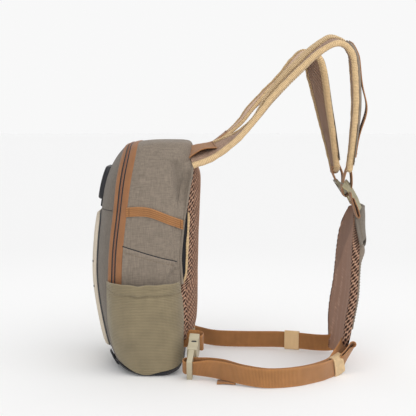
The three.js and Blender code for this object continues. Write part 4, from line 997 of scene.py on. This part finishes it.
def strapFrames(name, share):  # a strap's place and directions at shares of its length
    rows = numbered(strap[name])
    last, step = len(rows) - 1, 0.004
    at = smoothRows(rows, share * last)[:, 1:]
    later = smoothRows(rows, np.minimum(share + step, 1) * last)[:, 1:4]
    ahead = normalised(later - smoothRows(rows, np.maximum(share - step, 0) * last)[:, 1:4])
    across = normalised(np.array((0.0, 1.0, 0.0)) - ahead * ahead[:, 1:2])
    outer = np.cross(ahead, across)
    roll = np.radians(at[:, 3:4])
    width = across * np.cos(roll) + outer * np.sin(roll)
    normal = outer * np.cos(roll) - across * np.sin(roll)
    curl = np.radians(np.maximum(at[:, 5:6], 1))
    radius = at[:, 4:5] / curl
    centre = at[:, :3] + width * radius * np.sin(curl / 2) - normal * radius * (1 - np.cos(curl / 2))
    centre = centre + ahead * np.minimum(share, 0)[:, None] * strap["root"]
    return {"centre": centre, "ahead": ahead, "width": width, "normal": normal, "radius": radius,
            "half": at[:, 4:5] / 2}


def strapGrid(frames, across, height):  # points on a curled strap, across from its middle and over its mid surface
    angle = across / frames["radius"]
    sideways = (frames["radius"] - height) * np.sin(angle)
    up = frames["radius"] * (1 - np.cos(angle)) + height * np.cos(angle)
    flat = frames["centre"][:, None] + frames["width"][:, None] * sideways[..., None]
    return flat + frames["normal"][:, None] * up[..., None]


def addStrap(name):
    low = name.lower()
    share = np.linspace(-0.012, 1, strap["steps"])
    frames = strapFrames(name, share)
    half, binding = frames["half"], smoothRows(strap["bindings"][name], share)[:, 1:]
    edgeHalf = smoothRows(strap["edges"][name], share)[:, 1:] / 2
    run = runLength(frames["centre"], 0)[:, None]
    fine = evenly(36, -1)[None, :]
    across = fine * (half - binding + 1.5)
    wrinkle = 0.25 * np.sin(run / 7 + 2 * fine) * np.sin(run / 23 + 1)
    crown = edgeHalf * (0.65 + 0.22 * (1 - fine ** 2)) + wrinkle
    outer, inner = strapGrid(frames, across, crown), strapGrid(frames, across, -crown)
    # painted light: the outer face is marked paler, most on the far strap, which faces up to the light; the rear face
    # keeps the darker colour
    face, rear = marksOf(run, across, strap["paintedLight"][name]), marksOf(run, across)
    pad = slab(f"strapPad{name}", outer, inner, face, "strapMesh", (f"strap_{low}",), 80, rear)

    turn = np.linspace(-math.pi / 2, math.pi / 2, 9)[1:-1]
    lipIn = np.concatenate([[1, 0.75, 0.4], 0 * turn, [0.4, 0.75, 1, 1]])
    lipRound = np.concatenate([[0, 0, 0], 3.2 - 3.2 * np.cos(turn), [0, 0, 0, 0]])
    lipUp = np.concatenate([[-0.8, -1, -1.06], np.sin(turn), [1.06, 1, 0.8, 0]])
    wobble = np.sin(run / 3.7) * np.sin(run / 31) + 0.7 * np.sin(run / 1.9 + 2) * np.sin(run / 17)
    inset = (binding - 2.5) * lipIn + lipRound
    height = edgeHalf * lipUp * (1 + 0.05 * wobble)
    rings = [strapGrid(frames, edge * (half - inset + 0.25 * wobble), height) for edge in (-1, 1)]
    marks = [marksOf(run, edge * inset, 0.6 * hill(inset, 0, 2.5) - 0.5 * lipIn ** 6) for edge in (-1, 1)]
    end = {key: value[-1] for key, value in frames.items()}
    tuck, rise = inset[-1][:, None], end["normal"] * height[-1][:, None]
    arcs = []
    for angle in np.linspace(0, math.pi, 20)[1:-1]:  # the binding's turn round the strap's end
        fray = 0.5 * math.sin(9 * angle)
        ahead = math.sin(angle) * (strap["endBulge"] + fray - tuck * 0.55)
        reach = -math.cos(angle) * end["width"] * (end["half"] - tuck)
        arcs.append(end["centre"] + reach + end["ahead"] * ahead + rise)
    arcRun = run[-1, 0] + np.arange(1, len(arcs) + 1)[:, None] * 2.2
    rings = np.concatenate([rings[0], np.array(arcs), rings[1][::-1]])
    marks = np.concatenate([marks[0], marksOf(arcRun, inset[-1:], 0.2), marks[1][::-1]])
    loft(f"strapBinding{name}", rings, marks, "binding", (f"strap_binding_{low}",), 60)
    for edge, edgeName in ((-1, "Low"), (1, "High")):
        for face, faceName in ((1, "Out"), (-1, "In")):
            at = edge * (half - binding + 3.6)
            path = strapGrid(frames, at, face * (edgeHalf * 0.93 + 0.05))[:, 0]
            threadRow(f"strapStitch{name}{edgeName}{faceName}", path, frames["normal"] * face,
                      "binding")
    addStrapStrips(name, low)
    print("strap sewn:", low)


def addStrapStrips(name, low):  # the webbing loop, the cover and the runner over it
    loop, runner = strap["loop"], strap["runner"]
    cover = {**strap["cover"], "thick": strap["covers"][name]}
    seat = lambda s: smoothRows(strap["edges"][name], s[:, 0])[:, 1:] / 2 + 0.3
    arch = lambda s: np.sin(math.pi * (s - loop["from"]) / (loop["to"] - loop["from"]))
    hump = lambda s, f: seat(s) + strap["hump"][name] * arch(s) * (0.5 - 0.5 * f)
    strapStrip(f"strapLoop{name}", name, loop, hump, "orange", f"strap_loop_{low}")
    laid = lambda s, f: seat(s) + 0 * f
    sheet, face = strapStrip(f"strapCover{name}", name, cover, laid, "taupe", f"strap_cover_{low}")
    declareSheet(sheet, face)
    over = lambda s: seat(s) + cover["thick"] * thinned(s, cover) + 0.3
    bow = lambda s, f: over(s) + strap["bow"][name] * hill(s, runner["peak"], runner["spread"]) + 0 * f
    strapStrip(f"strapRunner{name}", name, runner, bow, "orange", f"strap_runner_{low}")


def thinned(share, look):  # a strip's thickness towards its end, as a share of the whole
    return 1 - 0.75 * easeStep(share, *look["thin"]) if "thin" in look else 1 + 0 * share


def strapStrip(piece, name, look, lift, finish, node):  # webbing or cloth on a strap's outer face
    share = np.linspace(look["from"], look["to"], 90)
    frames = strapFrames(name, share)
    fine = evenly(15, -1)[None, :]
    across = look["shift"] + fine * look["half"] + 0 * frames["half"]
    base = lift(share[:, None], fine)
    run = runLength(frames["centre"], 0)[:, None]
    thick = look["thick"] * thinned(share[:, None], look)
    outer = strapGrid(frames, across, base + thick * (1 - 0.4 * fine ** 10))
    inner = strapGrid(frames, across, base)
    made = slab(piece, outer, inner, marksOf(run, across, np.abs(fine) ** 8), finish, (node,))
    for end, place in ((3, "Start"), (-4, "End")):
        path = strapGrid(frames, across, base + thick + 0.1)[end]
        up = np.broadcast_to(frames["normal"][end], path.shape)
        threadRow(f"{piece}Stitch{place}", path[1:-1], up[1:-1], "strip")
    return made, outer


# The back pad from its lowest point up: level, inner face, half width, thickness at the middle
back = {
    "rows": [(9, 239.5, 26, 5), (17, 241, 44, 8), (30, 242.5, 64, 10), (45, 243.8, 78, 11), (65, 246, 82, 12),
             (93, 250.5, 82, 12), (125, 253, 78, 12), (155, 255, 70, 12), (174, 257.5, 56, 11), (190, 261, 38, 9),
             (200, 264.5, 22, 6)],
    "edge": 8.0, "pressure": 2.5, "swell": 2.5, "fill": 0.55, "coarse": (46, 50), "face": (0.96, 0.88), "soft": 1.0,
    # Past the ridge line the pad's face is darkened by the turned share, painted shade where the face turns away from
    # the light
    "ridge": [(95, 1.3), (104, 0.95), (112, 0.65), (127, 0.45), (144, 0.25), (174, -0.4), (190, -0.8)], "turned": 0.5,
    "cover": {"bottom": 56.0, "top": 200.5, "reach": -2.0, "thick": 1.5, "height": 0.4, "lift": 0.0, "arch": 0.0,
              "tip": 0.0, "wrap": (0.0, 0.0), "hem": 1.0, "bulge": 4.0},
    "flap": {"bottom": 148.0, "top": 203.0, "reach": 3.4, "thick": 1.8, "height": 2.4, "lift": 2.6, "arch": 26.0,
             "tip": 16.0, "wrap": (13.0, 6.0), "hem": 0.2, "bulge": 0.0},
    "clothSteps": (58, 74),
}


def backFaces(z, across):  # inner and outer points of the back pad
    _, x, half, thick = np.moveaxis(smoothRows(back["rows"], z), -1, 0)
    deep = back["edge"] + (thick - back["edge"]) * (1 - across ** 4)
    y = half * across
    return np.stack([x - 4 * across ** 2, y, z], -1), np.stack([x + deep - 2 * across ** 2, y, z], -1)


def addBackPad():
    across, _, z, wall, sink = padGrid(back)
    inner, outer = backFaces(z, across + 0 * z)
    inner = inner + (1.0, 0, 0) + (outer - inner - (1.5, 0, 0)) * sink[..., None]
    inner[..., 1] += 2.2 * np.sign(across) * np.sin(math.pi * wall)
    face, rear = finer(softPad(inner, outer, back), *padFine), finer(outer, *padFine)
    columns = padFine[1]
    marksAlong, marksAcross = -runLength(face, 1), face[..., 2]
    marksAlong -= marksAlong[:, columns // 2 : columns // 2 + 1]
    fromMiddle = np.abs(evenly(columns, -1))[None, :]
    middle = 1 - easeStep(fromMiddle, back["face"][1] - 0.12, back["face"][1] - 0.03)
    streak = 0.35 * np.sin(face[..., 1] / 6 + 0.7 * np.sin(face[..., 2] / 25)) * np.sin(face[..., 2] / 60 + 0.5)
    push = meshDent(marksAlong, marksAcross) * (1 - middle) + streak * middle
    ratio = face[..., 1] / smoothRows(back["rows"], np.clip(face[..., 2], z.min(), z.max()))[..., 2]
    # painted shade: past the ridge line the marks rise above 1, darkening the face where it turns away
    past = ratio - np.interp(face[..., 2], *np.array(back["ridge"]).T)
    soft = (back["soft"] + back["turned"] * easeStep(past, -0.04, 0.16)) * middle
    face = face + gridNormals(face, (260, 0, 110)) * push[..., None]
    pad = slab("backPad", face, rear, marksOf(marksAlong, marksAcross, soft), "mesh", ("back_pad",), 80)
    print("back pad sewn")


def addBackCloth(key, node, finish):  # the cover or the yoke flap, over the pad's outer face
    look, name = back[key], "back" + key.title()
    share, across = evenly(back["clothSteps"][0])[:, None], evenly(back["clothSteps"][1], -1)[None, :]
    bottom = look["bottom"] + look["arch"] * across ** 2 - look["tip"] * easeStep(np.abs(across), 0.82, 1.0)
    z = bottom + (look["top"] - bottom) * share
    _, base = backFaces(z, across + 0 * z)
    turned = easeStep(np.abs(across), 0.84, 1.0)
    base[..., 0] -= np.where(across < 0, *look["wrap"]) * turned * (look["hem"] + (1 - look["hem"]) * share)
    base[..., 1] += across * look["reach"]
    ripple = 0.5 * np.sin(base[..., 1] / 12 + z / 30) * np.sin(z / 17)
    off = np.maximum(look["height"] + look["lift"] * (1 - share) ** 1.5 * (1 - turned) + ripple, 0.2)
    bulge = look["bulge"] * hill(z, 150, 10) * easeStep(np.abs(across), 0.3, 0.8)
    normal = gridNormals(base, (245, 0, 150))
    outer = base + normal * (off + look["thick"] + bulge)[..., None]
    inner = base + normal * (off - 0.2)[..., None]
    marks = marksOf(base[..., 1], z, np.abs(across) ** 12 * 0.5)
    cloth = slab(name, outer, inner, marks, finish, (node,))
    declareSheet(cloth, outer)
    for side, column in (("Near", 3), ("Far", -4)):
        up = normal[3:-3, column]
        threadRow(f"{name}Stitch{side}", outer[3:-3, column] + up * 0.1, up)
    print("back pad covered:", key)


# Waist webbings: points along the middle of the width, with the top edge's lean to the near side in degrees
waist = {
    "slit": {"middle": (58.6, -90.7, 43.4), "half": (3.0, 1.1), "turn": 0.0635},
    "width": 22.0, "thick": 1.6,
    "near": [
        (246, -66, 36, 0), (236, -76, 24, 0), (225.5, -86, 13.5, 0), (208, -107.5, 11.3, 0), (180, -131, 11.3, 0),
        (147, -140, 11.5, 0), (118, -131, 13.6, 0), (96, -111, 15, 0), (79, -101, 15.5, 10), (67, -100.6, 17.2, 24),
        (55, -101.1, 18.6, 34), (48, -101.9, 18.2, 34), (45.6, -104.3, 16.5, 34), (48, -106.8, 14.8, 34),
        (55, -107.5, 14.3, 34), (67, -108.6, 14.2, 24), (79, -112.5, 14.8, 10), (96, -124.5, 15, 0),
        (121, -140, 13, 0), (147, -146, 11.5, 0), (180, -137, 11.3, 0), (209, -115, 11.3, 0), (221, -101, 11.3, 0),
        (230, -89, 11.5, 0), (237, -81.5, 13.5, 10), (243, -78, 19.5, 40), (249.5, -77, 28.5, 50), (252.8, -77, 34, 54),
        (252.3, -77, 36.4, 56), (249.6, -77, 34.6, 56), (244, -77.5, 27, 52), (239.5, -78.5, 21.5, 45),
    ],
    "far": [
        (52, 99, 14.5, -20), (66, 91, 12.6, -8), (82, 81, 11.5, 0), (100, 75, 11.3, 0), (128, 72, 11.3, 0),
        (150, 69, 11.8, 0), (174, 62.5, 12.9, 0), (200, 54, 12.6, 0), (222, 47.5, 11.8, 0), (236, 44, 12.2, 0),
        (247, 42, 14, 0),
    ],
    "anchor": [(42, -62, 41, 0), (57, -62.5, 41, 0), (66, -65, 40, 0), (69.5, -69.5, 38.5, 10), (66.5, -73.4, 37.6, 24),
               (58, -74.6, 36.6, 34)],
    "keeper": {"rows": [(225.8, -90, 10.6, 0), (231.5, -83.5, 12.2, 0), (238, -77.5, 15, 0)], "half": (11.6, 4.6),
               "thick": 1.4, "steps": (24, 49)},
    "farShare": 0.55, "endTab": [(86, -129), (108, -132), (109, -114), (87, -112)],
    "buckle": {"grow": (1.3, 1, 1.18), "about": (54.5, -105, 9)}, "buckleFar": {"shift": (-5, 0, 0)},
}


def ribbonFrames(rows, share):  # a webbing's middle line, its width direction and its outer direction
    table = numbered(rows)
    last, step = len(table) - 1, 0.003
    place = lambda s: smoothRows(table, np.clip(s, 0, 1) * last)[:, 1:4]
    ahead = normalised(place(share + step) - place(share - step))
    lean = np.radians(smoothRows(table, share * last)[:, 4:5])
    upright = np.concatenate([0 * lean, -np.sin(lean), np.cos(lean)], 1)
    width = normalised(upright - ahead * np.sum(ahead * upright, 1, keepdims=True))
    return place(share), width, np.cross(ahead, width)


def webbing(name, rows, look, finish, node, steps):  # a flat band with rounded selvedges
    place, wide, normal = ribbonFrames(rows, evenly(steps))
    fine, half = evenly(13, -1), look["width"] / 2
    body = look["thick"] / 2 * np.sqrt(np.clip(1 - np.abs(fine) ** 14, 0.05, 1))
    across, up = np.concatenate([fine, fine[::-1]]) * half, np.concatenate([body, -body[::-1]])
    rings = place[:, None] + wide[:, None] * across[None, :, None] + normal[:, None] * up[None, :, None]
    marks = marksOf(runLength(place, 0)[:, None], across[None, :], np.abs(across[None, :] / half) ** 10)
    loft(name, rings, marks, finish, (node,), 60)


def addWaist():
    webbing("waistWebbingNear", waist["near"], waist, "tan", "waist_webbing_near", 420)
    webbing("waistWebbingFar", waist["far"], waist, "tan", "waist_webbing_far", 200)
    root = waist["anchor"][0][0]
    for side, name, short in ((1, "Near", 1.0), (-1, "Far", waist["farShare"])):
        rows = [(root + (x - root) * short, side * y, z, side * lean) for x, y, z, lean in waist["anchor"]]
        webbing("buckleAnchor" + name, rows, waist, "tan", "buckle_anchor_" + name.lower(), 80)
    print("waist webbings laid")


def addKeepers():
    keeper = waist["keeper"]
    steps, around = keeper["steps"]
    place, wide, normal = ribbonFrames(keeper["rows"], evenly(steps))
    turn = np.linspace(0, 2 * math.pi, around)
    tall, deep = (squared(part, 0.55)[None, :, None] for part in (np.sin(turn), np.cos(turn)))
    belt = lambda grow: (place[:, None] + wide[:, None] * tall * (keeper["half"][0] + grow)
                         + normal[:, None] * deep * (keeper["half"][1] + grow))
    sleeve = belt(keeper["thick"])
    marks = marksOf(runLength(sleeve, 1), runLength(place, 0)[:, None], np.abs(evenly(steps, -1))[:, None] ** 8)
    slab("keeperNear", sleeve, belt(0), marks, "binding", ("keeper_near",))
    hardPiece("keeperFar", "keeper_far", "binding", "beige_binding", 0.5)


def addEndTab():
    corners = np.array(waist["endTab"], float)
    u, v = evenly(24)[:, None, None], evenly(20)[None, :, None]
    flat = (corners[0] * (1 - u) + corners[1] * u) * (1 - v) + (corners[3] * (1 - u) + corners[2] * u) * v
    curl = 1.2 * np.sin(u * 3.0) * (1 - v) + 0.3
    outer, inner = (np.concatenate([flat, curl + thick], -1) for thick in (1.7, 0))
    marks = marksOf(u[..., 0] * 22, v[..., 0] * 18)
    tab = slab("waistEndTab", outer, inner, marks, "tan", ("waist_end_tab",))
    declareSheet(tab, outer)


def addBuckles():
    for name, node in (("buckleSocket", "buckle_socket"), ("bucklePlug", "buckle_plug")):
        hardPiece(name, node, "plastic", "buckle_plastic", 0.9, **waist["buckle"])
    # painted shade: a black plate in the socket's slit, where the opening is dark inside
    slit = waist["slit"]
    long, tall = slit["half"]
    x = long * evenly(18, -1)[:, None] + np.zeros((1, 8))
    z = tall * evenly(8, -1)[None, :] * (1 - 0.5 * (x / long) ** 6)
    level = slit["turn"] * x - 0.3 * (z / tall) ** 4
    points = np.stack([x, -level, z], -1) + slit["middle"]
    slab("buckleSlitShade", points + (0, -0.4, 0), points + (0, 0.5, 0), marksOf(x, z), "blackPlastic")
    hardPiece("buckleFar", "buckle_far", "plastic", "buckle_plastic", 0.9, **waist["buckleFar"])
    print("keepers and buckles set")


# Adjusters between the strap ends and the back pad: routes seen from the side, and where across the pack each lies
lock = {
    "webbing": {"width": 21.0, "thick": 1.4}, "tab": {"width": 25.0, "thick": 2.4},
    "Near": {
        "loop": [(251, 253), (247.5, 243), (244.6, 230), (244.4, 223), (246.3, 217), (249.6, 216.4), (252.3, 220.5),
                 (255.4, 227), (256, 236), (255, 246), (252.5, 253)],
        "tail": [(250.7, 222.5), (252.1, 213.8), (255.3, 203.9), (258.5, 194.0), (260.4, 191.1), (262.0, 193.4),
                 (259.6, 202.7), (256.4, 210.1), (254.5, 215.1)],
        "tab": [(245.1, 232.8), (250.1, 227.8), (255.2, 220.3), (261.0, 210.2), (265.5, 200.2)],
        "loopMiddle": -27.0, "tailMiddle": -54.0, "tabMiddle": -40.0, "tabLean": -55,
    },
    "Far": {
        "loop": [(242, 254), (237.8, 247), (241.5, 236), (247, 226.5), (250, 224.2), (252, 228), (251.6, 241),
                 (247, 253)],
        "tail": [(253, 221), (257, 214), (261, 207), (264, 201)],
        "tab": [(247, 229), (253, 221), (259, 212), (264, 203)],
        "loopMiddle": 28.0, "tailMiddle": 28.0, "tabMiddle": 28.0, "tabLean": -75,
    },
}


def addAdjuster(name):
    low, look, band = name.lower(), lock[name], lock["webbing"]
    route = lambda key, lean: [(x, look[key + "Middle"], z, lean) for x, z in look[key]]
    hardPiece("ladderLock" + name, "ladder_lock_" + low, "lockPlastic", "buckle_plastic", 0.7)
    webbing("adjustWebbing" + name, route("loop", -90), band, "tan", "adjust_webbing_" + low, 160)
    webbing("adjustTail" + name, route("tail", -90), band, "orange", "adjust_tail_" + low, 90)
    webbing("yokeTab" + name, route("tab", look["tabLean"]), lock["tab"], "khaki", "yoke_tab_" + low, 60)
    print("adjuster threaded:", low)


setStudio()
addShells()
addZip()
for side, name in sides:
    addSideTrim(side, name)
    addPocket(side, name)
    addStrap(name)
    addAdjuster(name)
addFront()
addBase()
addChestPad()
addChestBinding()
for side, name in sides:
    addChestSide(side, name)
addBackPad()
addBackCloth("cover", "back_pad_cover", "taupe")
# the yoke flap takes the darker copy of the taupe, as painted shade
addBackCloth("flap", "yoke_flap", "taupePaintedShade")
addWaist()
addKeepers()
addEndTab()
addBuckles()
